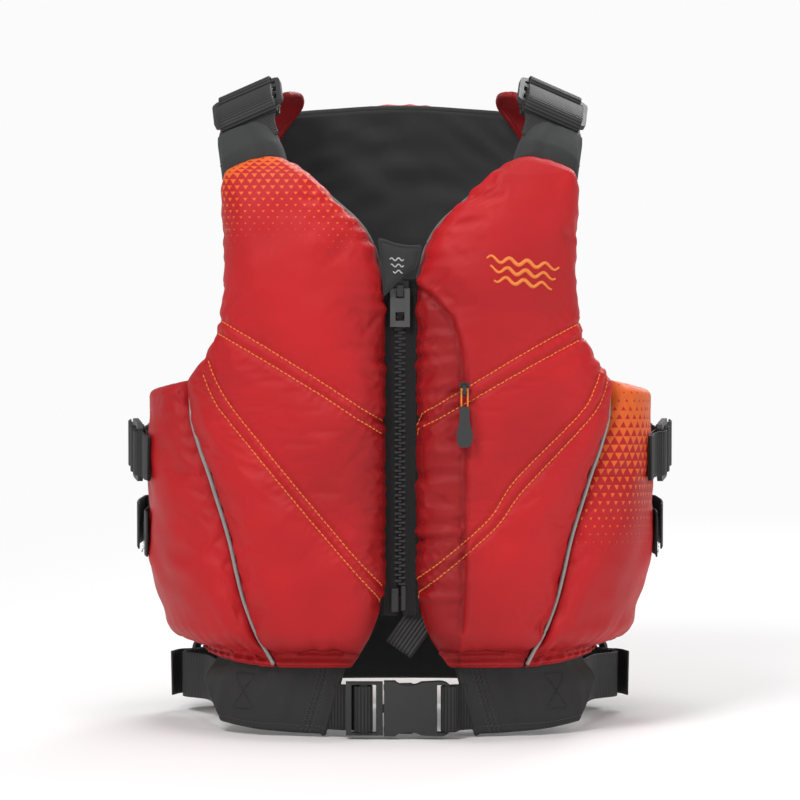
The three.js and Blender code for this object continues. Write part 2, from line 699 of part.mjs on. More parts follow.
// The slider and its pull are built round the slider's middle.
function zipSlider() {
  return join(
    box(both(7), [-7, -4.4], [-9, 8]), // front plate
    box(both(6.4), [-0.2, 1.6], [-9, 8]), // rear plate
    box(both(0.5), [-4.6, 0], [1, 8]), // web between the plates
    box(both(2.6), [-10.4, -6.8], [-4, -2.6]), // bridge: two posts and a bar
    box(both(2.6), [-10.4, -6.8], [3.6, 5]),
    box(both(2.6), [-11.6, -10.2], [-4, 5]),
  );
}

// The pull's top bar runs under the slider's bridge.
function zipPull() {
  return cut(
    box(both(8), [-9.7, -7.7], [-29, 2.2]),
    box(both(3.4), [-12, -6], [-5.6, 0.2]),
    box(both(3.6), [-12, -6], [-24, -17]),
  );
}
add("zip_slider", zipSlider().translate(0, ZIP_Y, SLIDER_Z), ZIPPER);
add("zip_pull", zipPull().translate(0, ZIP_Y, SLIDER_Z), ZIPPER);

// Cover flap over the top of the zip: [x, z]
const ZIP_FLAP = [[-13.2, 362], [5.5, 381], [13.2, 385], [16, 404], [-16.5, 409], [-15, 385]];
const zipFlap = plate(outline(ZIP_FLAP), { thickness: 1.4, back: ZIP_Y - 13.2 });
add("zip_top_flap", welded(zipFlap), DARK);

// ---------------------------------------------------------------- pocket zip, wearer's left panel
// Built round x = 0 and y = 0 at its own heights, then moved to the panel's face.
const POCKET_X = 52;
const POCKET_Y = -TORSO_HALF_DEPTH - FRONT_THICKNESS + 4.7;

const addPocketPart = (name, geometry, surface) =>
  add(name, geometry.translate(POCKET_X, POCKET_Y, 0), surface);

function pocketSlider() {
  return join(
    box(both(4), [-7.8, -5.4], [284, 295]),
    box(both(1.5), [-12, -10.6], [286, 293.3]),
    box(both(1.5), [-10.8, -7.6], [291.3, 293.3]),
    box(both(1.5), [-10.8, -7.6], [286, 287.2]),
  );
}

function pocketCord() {
  return cut(
    box(both(3.2), [-10.2, -8.2], [266, 290.6]),
    box(both(1.9), [-12, -6], [274, 288.8]),
  );
}

function pocketGrip() {
  const shape = outline([ // [x, z]
    [-3.6, 276], [3.6, 276], [4.4, 262], [6.6, 254], [6, 246], [3, 243], [-3, 243],
    [-6, 246], [-6.6, 254], [-4.4, 262],
  ]);
  return cut(
    plate(shape, { thickness: 6, back: -6.2 }),
    box(both(3.6), [-10.6, -7.8], [265.6, 280]), // room for the cord
  );
}
addPocketPart("pocket_zip", box(both(5), [-5, -3.4], [112, 372]), ZIPPER);
addPocketPart("pocket_slider", pocketSlider(), ZIPPER);
addPocketPart("pocket_cord", pocketCord(), CORD);
addPocketPart("pocket_grip", pocketGrip(), PLASTIC);

// ---------------------------------------------------------------- webbing tab below the main zip
const holdTab = new THREE.BoxGeometry(25, 2.6, 26)
  .rotateY(degToRad(35))
  .translate(6.5, -100.3, 84);
add("hold_tab", welded(holdTab), WEBBING);

// ---------------------------------------------------------------- reflective piping in the seams
// Piping beside the across = 0 edge of a panel, from one level of its net over a given rise.
function piping(surface, { from, rise, pieces, angleGap, height, radius }) {
  const points = [];
  for (let i = 0; i <= pieces; i++) {
    const up = from + (i / pieces) * rise;
    const [angle, z] = surface(0, up);
    points.push(offTorso(angle - angleGap, z, height(up)));
  }
  return rod(points, radius);
}
addPair("front_piping", piping(sideSurface, {
  from: 0.03, rise: 0.83, pieces: 9, angleGap: 0.65, radius: 0.9,
  height: (up) => sideHeight(0, up) + 1.2,
}), GREY);
addPair("back_piping", piping(backSurface, {
  from: 0.83, rise: 0.16, pieces: 4, angleGap: 0.6, radius: 1.2,
  height: () => EDGE_HEIGHT + 2.4,
}), GREY);

export default group;
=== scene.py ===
import math

import bpy
import numpy as np
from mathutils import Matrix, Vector


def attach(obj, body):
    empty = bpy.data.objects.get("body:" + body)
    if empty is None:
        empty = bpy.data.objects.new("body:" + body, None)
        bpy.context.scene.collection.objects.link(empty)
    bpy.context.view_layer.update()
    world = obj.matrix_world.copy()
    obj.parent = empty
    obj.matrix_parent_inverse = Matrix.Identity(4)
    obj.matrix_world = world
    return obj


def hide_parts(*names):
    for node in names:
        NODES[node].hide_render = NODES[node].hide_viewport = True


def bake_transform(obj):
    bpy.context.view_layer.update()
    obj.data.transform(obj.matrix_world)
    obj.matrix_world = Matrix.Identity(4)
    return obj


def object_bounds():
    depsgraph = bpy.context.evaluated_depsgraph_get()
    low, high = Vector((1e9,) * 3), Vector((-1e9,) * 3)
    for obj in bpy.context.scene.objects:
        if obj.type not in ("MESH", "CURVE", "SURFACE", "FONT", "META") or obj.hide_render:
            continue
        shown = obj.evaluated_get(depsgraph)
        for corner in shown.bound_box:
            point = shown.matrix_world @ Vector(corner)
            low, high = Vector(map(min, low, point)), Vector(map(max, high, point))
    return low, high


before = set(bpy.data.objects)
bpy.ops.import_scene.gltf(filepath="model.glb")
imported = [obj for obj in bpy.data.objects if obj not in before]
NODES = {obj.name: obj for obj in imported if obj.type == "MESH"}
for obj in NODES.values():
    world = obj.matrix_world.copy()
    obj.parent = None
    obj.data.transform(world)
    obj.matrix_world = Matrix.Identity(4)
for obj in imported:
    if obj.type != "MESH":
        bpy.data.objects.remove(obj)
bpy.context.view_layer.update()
SCENE = bpy.context.scene
RNG = np.random.default_rng(7)

ORIGIN_Y = 1.9  # the row frame's origin in the jacket's own plan
FRONT_VIEW, BACK_VIEW = 6.0, 2.0  # heights from which the drawn lines are seen, degrees
START, END, BOTTOM, TOP = range(4)  # borders of a grid: first and last column, first and last row
SIDES = ((1, "left"), (-1, "right"))  # the sign of x on each side

# ------------------------------------------------------------------ the body surface
HALF_WIDTH = 173.0
ROUNDNESS = 2.6  # exponent of the superellipse plan
HEIGHTS = np.arange(-60.0, 620.0, 1.0)


def soften(table):
    """A (z, depth) table drawn out over HEIGHTS with its corners rounded."""
    sigma, reach = 7.0, 24
    values = np.interp(HEIGHTS, [p[0] for p in table], [p[1] for p in table])
    kernel = np.exp(-0.5 * (np.arange(-reach, reach + 1) / sigma) ** 2)
    kernel /= kernel.sum()
    return np.convolve(np.pad(values, reach, mode="edge"), kernel, mode="valid")


# (z, half depth)
FRONT_DEPTH = soften([(0, 103), (376, 103), (405, 101), (425, 97.5), (445, 91), (462, 82),
                      (476, 71), (488, 58), (500, 42)])
BACK_DEPTH = soften([(0, 103), (430, 103), (470, 101), (505, 95)])


def torso(angle, z):
    """Body surface point; the angle runs from 0 at the front through 90 at the left."""
    rad = np.radians(angle)
    sin, cos, power = np.sin(rad), np.cos(rad), 2 / ROUNDNESS
    depth = np.where(cos > 0, np.interp(z, HEIGHTS, FRONT_DEPTH), np.interp(z, HEIGHTS, BACK_DEPTH))
    x = HALF_WIDTH * np.sign(sin) * np.abs(sin) ** power
    return np.stack([x, -depth * np.sign(cos) * np.abs(cos) ** power, z + 0 * sin], -1)


def unit(v):
    return v / np.maximum(np.linalg.norm(v, axis=-1, keepdims=True), 1e-9)


def torso_normal(angle, z):
    around = torso(angle + 1.2, z) - torso(angle - 1.2, z)
    return unit(np.cross(around, torso(angle, z + 4) - torso(angle, z - 4)))


def off_body(angle, z, lift):
    angle, z = np.asarray(angle, float), np.asarray(z, float)
    return torso(angle, z) + torso_normal(angle, z) * np.asarray(lift, float)[..., None]


def angle_at(x):
    """Angle on the front half of the body at a given x."""
    return np.degrees(np.arcsin(np.minimum(1, (np.abs(x) / HALF_WIDTH) ** (ROUNDNESS / 2))))


# ------------------------------------------------------------------ curves and small tools
def catmull(a, b, c, d, f):
    cubic = (3 * b - a - 3 * c + d) * f**3
    return 0.5 * (2 * b + (c - a) * f + (2 * a - 5 * b + 4 * c - d) * f * f + cubic)


def net(rows):
    """A smooth surface through rows of points, as a function of u and v in 0..1."""
    knots = np.array(rows, float)
    nr, nc = knots.shape[:2]

    def at(u, v):
        su, sv = np.clip(u, 0, 1) * (nc - 1), np.clip(v, 0, 1) * (nr - 1)
        i = np.minimum(nc - 2, np.floor(su)).astype(int)
        j = np.minimum(nr - 2, np.floor(sv)).astype(int)
        fu, fv = (su - i)[..., None], (sv - j)[..., None]
        across = []
        for q in (-1, 0, 1, 2):
            r = np.clip(j + q, 0, nr - 1)
            near = [knots[r, np.clip(i + p, 0, nc - 1)] for p in (-1, 0, 1, 2)]
            across.append(catmull(*near, fu))
        return catmull(*across, fv)

    return at


def spline(points, step):
    """A smooth path through points; further columns are carried along."""
    points = np.asarray(points, float)
    path = []
    for k in range(len(points) - 1):
        a, b, c = points[max(0, k - 1)], points[k], points[k + 1]
        d = points[min(len(points) - 1, k + 2)]
        n = max(1, int(np.linalg.norm(c - b) / step))
        path += [catmull(a, b, c, d, q / n) for q in range(n)]
    path.append(points[-1])
    return np.array(path)


def run_lengths(points):
    steps = np.linalg.norm(np.diff(points, axis=0), axis=-1)
    return np.concatenate([[0], np.cumsum(steps)])


def resample(points, normals, step=1.0):
    runs = run_lengths(points)
    q = np.linspace(0, runs[-1], max(2, int(round(runs[-1] / step)) + 1))
    even = [np.stack([np.interp(q, runs, a[:, k]) for k in range(3)], -1) for a in (points, normals)]
    return even[0], unit(even[1])


def smooth01(x):
    x = np.clip(x, 0, 1)
    return x * x * (3 - 2 * x)


def bell(x, width):
    return np.exp(-((x / width) ** 2))


def border(x, width):
    """Quarter-circle rise from 0 at the border to 1 at the given width."""
    return np.sqrt(1 - (1 - np.minimum(1, np.maximum(0, x) / width)) ** 2)


def given(value, at):
    return value(at) if callable(value) else value


def flip(sign):
    return np.array([sign, 1.0, 1.0])


def tangents(points):
    return unit(np.gradient(points, axis=0))


def square_to(vectors, axes):
    return unit(vectors - axes * np.sum(vectors * axes, -1, keepdims=True))


def repeated(vector, count):
    return np.tile(np.array(vector, float), (count, 1))


def polyline_distance(plan, line):
    """Distance from each plan point to a polyline, with how far along it."""
    line = np.array(line, float)
    best = np.full(plan.shape[:2], 1e9)
    along = np.zeros(plan.shape[:2])
    run = 0.0
    for a, b in zip(line[:-1], line[1:]):
        ab = b - a
        length = np.linalg.norm(ab)
        q = np.clip(((plan - a) @ ab) / (length * length), 0, 1)
        dist = np.linalg.norm(plan - (a + q[..., None] * ab), axis=-1)
        along = np.where(dist < best, run + q * length, along)
        best = np.minimum(dist, best)
        run += length
    return best, along


class Noise:
    """Seeded sum of sine waves on a plane."""

    def __init__(self, seed, count, scale, stretch=(1, 1)):
        rng = np.random.default_rng(seed)
        heading = rng.uniform(0, 2 * np.pi, count)
        freq = rng.uniform(0.55, 1.7, count) * 2 * np.pi / scale
        self.kx, self.ky = freq * np.cos(heading) / stretch[0], freq * np.sin(heading) / stretch[1]
        self.phase = rng.uniform(0, 2 * np.pi, count)
        self.size = rng.uniform(0.5, 1, count) / math.sqrt(count / 2)

    def __call__(self, x, y):
        total = 0
        for kx, ky, phase, size in zip(self.kx, self.ky, self.phase, self.size):
            total = total + size * np.sin(kx * x + ky * y + phase)
        return total


# ------------------------------------------------------------------ mesh making
TAPERED = ("front_cover", "front_lining", "red_stitching_l", "red_stitching_r",
           "orange_stitching_l", "orange_stitching_r", "neck_binding_l", "neck_binding_r",
           "side_cover", "side_lining", "red_stitching_side", "seam_piping", "waist_flap",
           "belt_webbing_tack")


def front_taper(co, flap):
    """The fronts narrow towards the hem at the sides, and their tops are flat arches."""
    x, z = co[:, 0], co[:, 2]
    narrow = 0.014 * smooth01((215 - z) / 90) + 0.058 * smooth01((140 - z) / 70)
    narrow = (narrow + 0.035 * smooth01((88 - z) / 26)) * smooth01((np.abs(x) - 95) / 80)
    if flap:  # the waist flaps follow only where they pass under the hem
        narrow = narrow * smooth01((z - 40) / 22)
    x = x * (1 - narrow)
    inward = 2.0 * (1 - smooth01((np.abs(x) - 13) / 22))
    inward = inward * smooth01((z - 106) / 26) * smooth01((388 - z) / 22)
    top = z - 0.42 * np.maximum(0, z - 461) * smooth01((z - 455) / 14)
    return np.stack([x - np.sign(x) * inward, co[:, 1], top], -1)


def mesh_object(name, co, faces, mat=None, uv=None, plan=None, attrs=None, smooth=True, shift=True):
    me = bpy.data.meshes.new(name)
    co = np.asarray(co, float).reshape(-1, 3).copy()
    if name.startswith(TAPERED):
        co = front_taper(co, name.startswith(("waist_flap", "belt_webbing_tack")))
    if shift:
        co[:, 1] += ORIGIN_Y
    co *= 0.001
    me.from_pydata(co.tolist(), [], [tuple(int(i) for i in f) for f in faces])
    me.validate()
    if mat:
        me.materials.append(mat)
    if smooth:
        me.polygons.foreach_set("use_smooth", np.ones(len(me.polygons), bool))
    corners = np.zeros(len(me.loops), np.int32)
    me.loops.foreach_get("vertex_index", corners)
    for label, data in (("UVMap", uv), ("plan", plan)):
        if data is not None:
            layer = me.uv_layers.new(name=label)
            places = np.asarray(data, float).reshape(-1, 2)[corners] * 0.001
            layer.data.foreach_set("uv", places.ravel().astype(np.float32))
    for label, data in (attrs or {}).items():
        attribute = me.attributes.new(label, "FLOAT", "POINT")
        attribute.data.foreach_set("value", np.asarray(data, np.float32).ravel())
    me.update()
    o = bpy.data.objects.new(name, me)
    SCENE.collection.objects.link(o)
    return o


def piece(o, body, slot, *nodes):
    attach(o, body)
    if nodes:
        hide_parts(*nodes)
    return o


def bridge(o):
    """Webbing that spans two bodies."""
    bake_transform(o)


def grid_faces(nu, nv, base=0, wrap=False):
    j, i = np.mgrid[0 : nv - 1, 0 : nu - 1 + (1 if wrap else 0)]
    k = (i + 1) % nu
    low, high = base + j * nu, base + (j + 1) * nu
    return np.stack([low + i, low + k, high + k, high + i], -1).reshape(-1, 4)


def capped_faces(around, count):
    """Faces of a run of closed rings with an end cap on each end."""
    faces = grid_faces(around, count, wrap=True).tolist()
    faces.append(list(range(around))[::-1])
    faces.append(list(range((count - 1) * around, count * around)))
    return faces


def upsample(grid):
    """Doubles a grid of points along both axes with a cubic through the points."""
    for axis in (0, 1):
        grid = np.moveaxis(grid, axis, 0)
        ends = 2 * grid[:1] - grid[1:2], 2 * grid[-1:] - grid[-2:-1]
        ext = np.concatenate([ends[0], grid, ends[1]], 0)
        fine = np.empty((2 * grid.shape[0] - 1,) + grid.shape[1:])
        fine[0::2] = grid
        fine[1::2] = (-ext[:-3] + 9 * ext[1:-2] + 9 * ext[2:-1] - ext[3:]) / 16
        grid = np.moveaxis(fine, 0, axis)
    return grid


def grid_normals(grid):
    return unit(np.cross(np.gradient(grid, axis=1), np.gradient(grid, axis=0)))


def arc(grid, axis):
    pad = [(0, 0), (0, 0)]
    pad[axis] = (1, 0)
    return np.cumsum(np.pad(np.linalg.norm(np.diff(grid, axis=axis), axis=-1), pad), axis=axis)


def border_distances(grid):
    across, up = arc(grid, 1), arc(grid, 0)
    return [across, across[:, -1:] - across, up, up[-1:] - up]


def puff(grid, pin, pressure, grow, cap):
    """Blows up a sheet of fabric held where pin is set; no point moves further than cap."""
    frames = 20
    nv, nu = grid.shape[:2]
    o = mesh_object("sim", grid, grid_faces(nu, nv), shift=False)
    group = o.vertex_groups.new(name="pin")
    group.add([int(i) for i in np.nonzero(pin.ravel())[0]], 1.0, "REPLACE")
    mod = o.modifiers.new("cloth", "CLOTH")
    cloth = mod.settings
    cloth.quality = 5
    cloth.mass = 0.25
    cloth.tension_stiffness = cloth.compression_stiffness = 12.0
    cloth.shear_stiffness = 4
    cloth.bending_stiffness = 0.35
    cloth.air_damping = 2.0
    cloth.vertex_group_mass = "pin"
    cloth.pin_stiffness = 1.0
    cloth.shrink_min = -grow
    cloth.use_pressure = True
    cloth.uniform_pressure_force = pressure
    cloth.effector_weights.gravity = 0
    mod.collision_settings.use_collision = False
    mod.collision_settings.use_self_collision = False
    mod.point_cache.frame_start, mod.point_cache.frame_end = 1, frames
    for f in range(1, frames + 1):
        SCENE.frame_set(f)
    settled = o.evaluated_get(bpy.context.evaluated_depsgraph_get())
    co = np.zeros(len(settled.data.vertices) * 3, np.float32)
    settled.data.vertices.foreach_get("co", co)
    co = co.reshape(nv, nu, 3).astype(float) * 1000
    me = o.data
    bpy.data.objects.remove(o)
    bpy.data.meshes.remove(me)
    SCENE.frame_set(1)
    move = co - grid
    size = np.linalg.norm(move, axis=-1, keepdims=True)
    bad = ~np.isfinite(size)
    move, size = np.where(bad, 0, move), np.where(bad, 1, size)
    return grid + move * np.minimum(1, cap / np.maximum(size, 1e-6))


# ------------------------------------------------------------------ panels and sheets
EDGE = 5.5  # least height of a panel at its borders
HEM = 13.0  # depth of the sewn hem


def front_plan(points):
    """Where points are seen from the front."""
    rise = (points[..., 1] + 142) * math.sin(math.radians(FRONT_VIEW))
    return np.stack([points[..., 0], points[..., 2] + rise], -1)


def back_plan(points):
    """Where points are seen from behind, with x unturned."""
    rise = (points[..., 1] - 138) * math.sin(math.radians(BACK_VIEW))
    return np.stack([points[..., 0], points[..., 2] - rise], -1)


def rolled(edge, inner, base, lip):
    """Middle line of an edge turned in to the lining."""
    height = np.linalg.norm(edge - base, axis=-1, keepdims=True)
    return 0.5 * (edge + base) + unit(edge - inner) * np.minimum(1.6, 0.18 * height + lip)


class Panel:
    """A padded panel: a net raised to the foam's height, blown up as cloth, then creased.

    widths and edges give, for each border, how wide its rounding is and how high it stands.
    A panel with sign -1 is worked out on +X and mirrored when it is built.
    """

    def __init__(self, shape, foam, widths, edges, grid, sim, inset, detail, sign=1,
                 view=front_plan, pinned=(), pin_reach=0.0):
        self.sign, self.flip, self.view = sign, flip(sign), view
        u, v = np.meshgrid(np.linspace(0, 1, grid[0]), np.linspace(0, 1, grid[1]))
        places = shape(u, v)
        angle, z = places[..., 0], places[..., 1]
        ground, normal = torso(angle, z), torso_normal(angle, z)
        dist = border_distances(ground)
        height = np.full(u.shape, float(foam))
        for side in range(4):
            share = given(edges[side], v) / foam
            x = dist[side] - (HEM if side == BOTTOM else 0)
            height = height * (share + (1 - share) * border(x, given(widths[side], v)))
        height = np.maximum(EDGE, height)
        face = ground + normal * height[..., None]
        pin = np.zeros(u.shape)
        pin[0, :] = pin[-1, :] = pin[:, 0] = pin[:, -1] = 1
        pin[dist[BOTTOM] < HEM] = 1
        for line in pinned:  # sewn lines are held so that the fabric swells either side
            pin = np.maximum(pin, polyline_distance(view(face), line)[0] < pin_reach)
        face = face - normal * (inset * np.minimum(1, np.minimum.reduce(dist) / 25))[..., None]
        face = puff(face, pin, **sim)
        fine = upsample(np.concatenate([face, np.stack([angle, z, *dist], -1)], -1))
        self.face = fine[..., :3]
        self.angle, self.z = fine[..., 3], fine[..., 4]
        self.dist = [fine[..., 5 + k] for k in range(4)]
        self.normal = grid_normals(self.face)
        self.across, self.up = arc(self.face, 1), arc(self.face, 0)
        self.face = self.face + self.normal * detail(self)[..., None]
        self.normal = grid_normals(self.face)

    def plan(self):
        return self.view(self.face)

    def seen(self):
        return np.moveaxis(self.plan(), -1, 0)

    def closed(self):
        """The grid with its edges rolled in to the lining: two more lines at each border."""
        face = self.face
        base = off_body(self.angle, self.z, 1.0)
        low = rolled(face[:1], face[1:2], base[:1], 0.5)
        high = rolled(face[-1:], face[-2:-1], base[-1:], 0.5)
        grid = np.concatenate([base[:1], low, face, high, base[-1:]], 0)
        base = np.pad(base, ((2, 2), (0, 0), (0, 0)), mode="edge")
        first = rolled(grid[:, :1], grid[:, 1:2], base[:, :1], 0.0)
        last = rolled(grid[:, -1:], grid[:, -2:-1], base[:, -1:], 0.0)
        return np.concatenate([base[:, :1], first, grid, last, base[:, -1:]], 1)

    def build(self, name, mat, attrs=None, plan=None):
        def padded(a):
            return np.pad(a, ((2, 2), (2, 2)) + ((0, 0),) * (a.ndim - 2), mode="edge")

        co = self.closed()
        faces = grid_faces(co.shape[1], co.shape[0])
        return mesh_object(
            name, co * self.flip, faces[:, :: self.sign], mat,
            uv=padded(np.stack([self.across, self.up], -1)),
            plan=padded(self.plan() if plan is None else plan) * self.flip[:2],
            attrs={k: padded(a) for k, a in (attrs or {}).items()},
        )

    def find(self, points):
        """Grid places (column, row) of points given as seen in plan."""
        plan = self.plan()
        nv, nu = plan.shape[:2]
        turn = self.normal[..., 1]
        facing = turn < 0.25 if self.face[..., 1].mean() < 0 else turn > -0.25
        places = []
        for point in points:
            dist = np.linalg.norm(plan - np.array(point), axis=-1) + np.where(facing, 0, 60)
            j, i = np.unravel_index(np.argmin(dist), dist.shape)
            j, i = min(max(j, 1), nv - 2), min(max(i, 1), nu - 2)
            slope = [(plan[j, i + 1] - plan[j, i - 1]) / 2, (plan[j + 1, i] - plan[j - 1, i]) / 2]
            try:
                step = np.linalg.solve(np.stack(slope, -1), np.array(point) - plan[j, i])
                step = np.clip(step, -1.5, 1.5)
            except np.linalg.LinAlgError:  # a cell seen edge on has no inverse
                step = np.zeros(2)
            places.append((np.clip(i + step[0], 0, nu - 1.001), np.clip(j + step[1], 0, nv - 1.001)))
        return np.array(places)

    def surface(self, places):
        """Points and normals of the built face at grid places (column, row)."""
        whole = np.floor(places).astype(int)
        i, j = whole[:, 0], whole[:, 1]
        fi, fj = (places[:, 0] - i)[:, None], (places[:, 1] - j)[:, None]

        def sample(field):
            low = field[j, i] * (1 - fi) * (1 - fj) + field[j, i + 1] * fi * (1 - fj)
            return low + field[j + 1, i] * (1 - fi) * fj + field[j + 1, i + 1] * fi * fj

        return sample(self.face) * self.flip, unit(sample(self.normal)) * self.flip

    def line(self, points, step=1.0):
        """Points and normals along a polyline drawn in plan."""
        return resample(*self.surface(self.find(spline(points, 4.0))), step)


class Sheet:
    """A closed thin pad over a net, between two heights off the body surface.

    ease crowds the grid lines towards the borders."""

    def __init__(self, name, shape, high, low, grid, mat, sign=1, ease=0.75):
        nu, nv = grid
        even = [np.linspace(0, 1, n) for n in grid]
        u, v = np.meshgrid(*[s * (1 - ease) + ease * (0.5 - 0.5 * np.cos(np.pi * s)) for s in even])
        places = shape(u, v)
        angle, z = places[..., 0], places[..., 1]
        ground, normal = torso(angle, z), torso_normal(angle, z)
        self.sign, self.v, self.z, self.normal = sign, v, z, normal
        self.dist = border_distances(ground)
        self.away = np.minimum.reduce(self.dist)
        top, under = (np.broadcast_to(given(h, self), z.shape)[..., None] for h in (high, low))
        self.face = ground + normal * top
        inner = ground + normal * under
        co = np.concatenate([inner.reshape(-1, 3), self.face.reshape(-1, 3)]) * flip(sign)
        count = nu * nv
        faces = grid_faces(nu, nv)[:, ::-1].tolist() + grid_faces(nu, nv, count).tolist()
        ring = [
            *range(nu),
            *[nu * j + nu - 1 for j in range(1, nv)],
            *[nu * (nv - 1) + i for i in range(nu - 2, -1, -1)],
            *[nu * j for j in range(nv - 2, 0, -1)],
        ]
        faces += [[a, b, b + count, a + count] for a, b in zip(ring, ring[1:] + ring[:1])]
        uv = np.stack([self.dist[START], self.dist[BOTTOM]], -1).reshape(-1, 2)
        faces = [f[::sign] for f in faces]
        self.object = mesh_object(name, co, faces, mat, uv=np.concatenate([uv, uv]))


def index_at(dist, inset, far):
    index = np.arange(len(dist))
    return np.interp(inset, dist[::-1], index[::-1]) if far else np.interp(inset, dist, index)


def edge_path(panel, side, inset, lo=0.0, hi=1.0):
    """A path along one border of a panel, a set distance in from it."""
    level = side in (BOTTOM, TOP)
    dist = panel.dist[side].T if level else panel.dist[side]
    count, depth = dist.shape
    places = []
    for q in range(int(lo * (count - 1)), int(hi * (count - 1)) + 1):
        index = index_at(dist[q], inset, side in (END, TOP))
        places.append((min(max(index, 0), depth - 1.001), min(q, count - 1.001)))
    places = np.array(places)
    return resample(*panel.surface(places[:, ::-1] if level else places))


def sheet_path(sheet, side, inset, lo=0.0, hi=1.0):
    """The same on a sheet, with the normals of the nearest grid points."""
    dist, face, normal = sheet.dist[side], sheet.face, sheet.normal
    if side in (BOTTOM, TOP):
        dist, face, normal = dist.T, face.swapaxes(0, 1), normal.swapaxes(0, 1)
    points, normals = [], []
    for q in range(int(lo * (len(dist) - 1)), int(hi * (len(dist) - 1)) + 1):
        index = index_at(dist[q], inset, side in (END, TOP))
        i = int(min(index, dist.shape[1] - 2))
        f = index - i
        points.append(face[q, i] * (1 - f) + face[q, i + 1] * f)
        normals.append(normal[q, i])
    return resample(np.array(points) * flip(sheet.sign), np.array(normals) * flip(sheet.sign))


# ------------------------------------------------------------------ threads, cords, straps
THREAD_SIDES = 6
# along the stitch, rise, swelling
THREAD_RINGS = ((0, -0.5, 0.55), (0.18, 0.25, 0.95), (0.5, 0.5, 1.05), (0.82, 0.25, 0.95),
                (1, -0.5, 0.55))


def stitches(points, normals, length, gap, radius, lift=0.15, jitter=0.12):
    """Thread stitches along a path, each a short arched tube."""
    runs = run_lengths(points)
    turn = np.arange(THREAD_SIDES) * 2 * np.pi / THREAD_SIDES
    cos, sin = np.cos(turn)[:, None], np.sin(turn)[:, None]

    def at(table, q):
        return np.array([np.interp(q, runs, table[:, k]) for k in range(3)])

    made = []
    start = gap * 0.5
    while start + length < runs[-1]:
        for share, rise, swell in THREAD_RINGS:
            q = start + length * share
            normal = unit(at(normals, q))
            along = unit(at(points, q + 0.3) - at(points, q - 0.3) + 1e-9)
            side = unit(np.cross(along, normal))
            centre = at(points, q) + normal * (lift + rise * radius * 1.6)
            centre = centre + side * RNG.normal(0, jitter)
            made.append(centre + (cos * side + sin * normal * 0.8) * radius * swell)
        start += length + gap
    return made


def sew(name, mat, body, slot, *groups):
    """One mesh of stitches; each group is a thread style and the paths it follows."""
    rings = []
    for style, paths in groups:
        for points, normals in paths:
            rings += stitches(points, normals, **style)
    per_stitch = len(THREAD_RINGS)
    faces = [grid_faces(THREAD_SIDES, per_stitch, k * THREAD_SIDES, wrap=True)
             for k in range(0, len(rings), per_stitch)]
    piece(mesh_object(name, np.concatenate(rings), np.concatenate(faces), mat), body, slot)


def sideways(points, normals):
    return unit(np.cross(normals, np.gradient(points, axis=0)))


def zigzag(path, reach):
    points, normals = path
    swing = reach * np.sign(np.sin(np.arange(len(points)) * np.pi / 2.0 + 0.3))
    return points + sideways(points, normals) * swing[:, None], normals


def tube(name, points, radius, mat, around):
    points = np.asarray(points, float)
    along = tangents(points)
    up = repeated((0, 0, 1), len(points))
    up[np.abs(along[:, 2]) > 0.9] = (0, 1, 0)
    up = square_to(up, along)
    side = np.cross(along, up)
    turn = (np.arange(around) * 2 * np.pi / around)[None, :, None]
    co = points[:, None] + radius * (np.cos(turn) * side[:, None] + np.sin(turn) * up[:, None])
    girth = np.arange(around)[None, :] * radius * 0.628
    uv = np.stack(np.broadcast_arrays(girth, run_lengths(points)[:, None]), -1)
    return mesh_object(name, co, capped_faces(around, len(points)), mat, uv=uv)


def ribbon(name, centres, across, normals, width, thick, mat, nu=10, bulge=0.0, relief=None):
    """A closed rounded slab along centres, with width directions and face normals.

    bulge swells the outer face; relief(place across, run) shifts both faces."""
    across = unit(across)
    normals = square_to(normals, across)
    width = np.broadcast_to(np.asarray(width, float), (len(centres),))
    half = thick / 2
    flat = np.linspace(-1, 1, nu)
    runs = run_lengths(centres)
    # share of the flat width, then place across and height in the rounded edge
    profile = [(q, 0.0, 1.0) for q in flat]
    profile += [(1, math.cos(a), math.sin(a)) for a in map(math.radians, (45, 0, -45))]
    profile += [(q, 0.0, -1.0) for q in flat[::-1]]
    profile += [(-1, -math.cos(a), math.sin(a)) for a in map(math.radians, (-45, 0, 45))]
    co, uv = [], []
    for share, outward, level in profile:
        place = (width / 2 - half) * share + half * outward
        height = half * level + (bulge * (1 - share * share) if level > 0 else 0) + 0 * width
        if relief is not None:
            height = height + relief(place, runs)
        co.append(centres + across * place[:, None] + normals * height[:, None])
        uv.append(np.stack([place, runs], -1))
    faces = capped_faces(len(profile), len(centres))
    return mesh_object(name, np.stack(co, 1), faces, mat, uv=np.stack(uv, 1))


def strap(name, centres, across, width, thick, mat=None, square=False, facing=1, **more):
    """A ribbon with one width direction, squared to its path if asked."""
    along = tangents(centres)
    wide = repeated(across, len(centres))
    if square:
        wide = square_to(wide, along)
    normals = np.cross(wide, along) * facing
    return ribbon(name, centres, wide, normals, width, thick, mat or WEBBING, **more)


class Lock:
    """A ladder-lock's own plane: points are (along the strap, off its face)."""

    def __init__(self, origin, along, across, sign=1):
        along = unit(np.array(along, float))
        across = square_to(np.array(across, float), along)
        self.origin = np.array(origin, float) * flip(sign)
        self.along, self.across = along * flip(sign), across * flip(sign)
        self.off = np.cross(across, along) * flip(sign)

    def at(self, points):
        points = np.array(points, float)
        return self.origin + points[:, :1] * self.along + points[:, 1:2] * self.off

    def web(self, name, points, width, thick, step=1.0, world=None):
        """Webbing threaded along points of the plane, then on through world points."""
        path = spline(self.at(points), step)
        if world is not None:
            path = np.concatenate([path, world])
        return strap(name, path, self.across, width, thick, square=True)


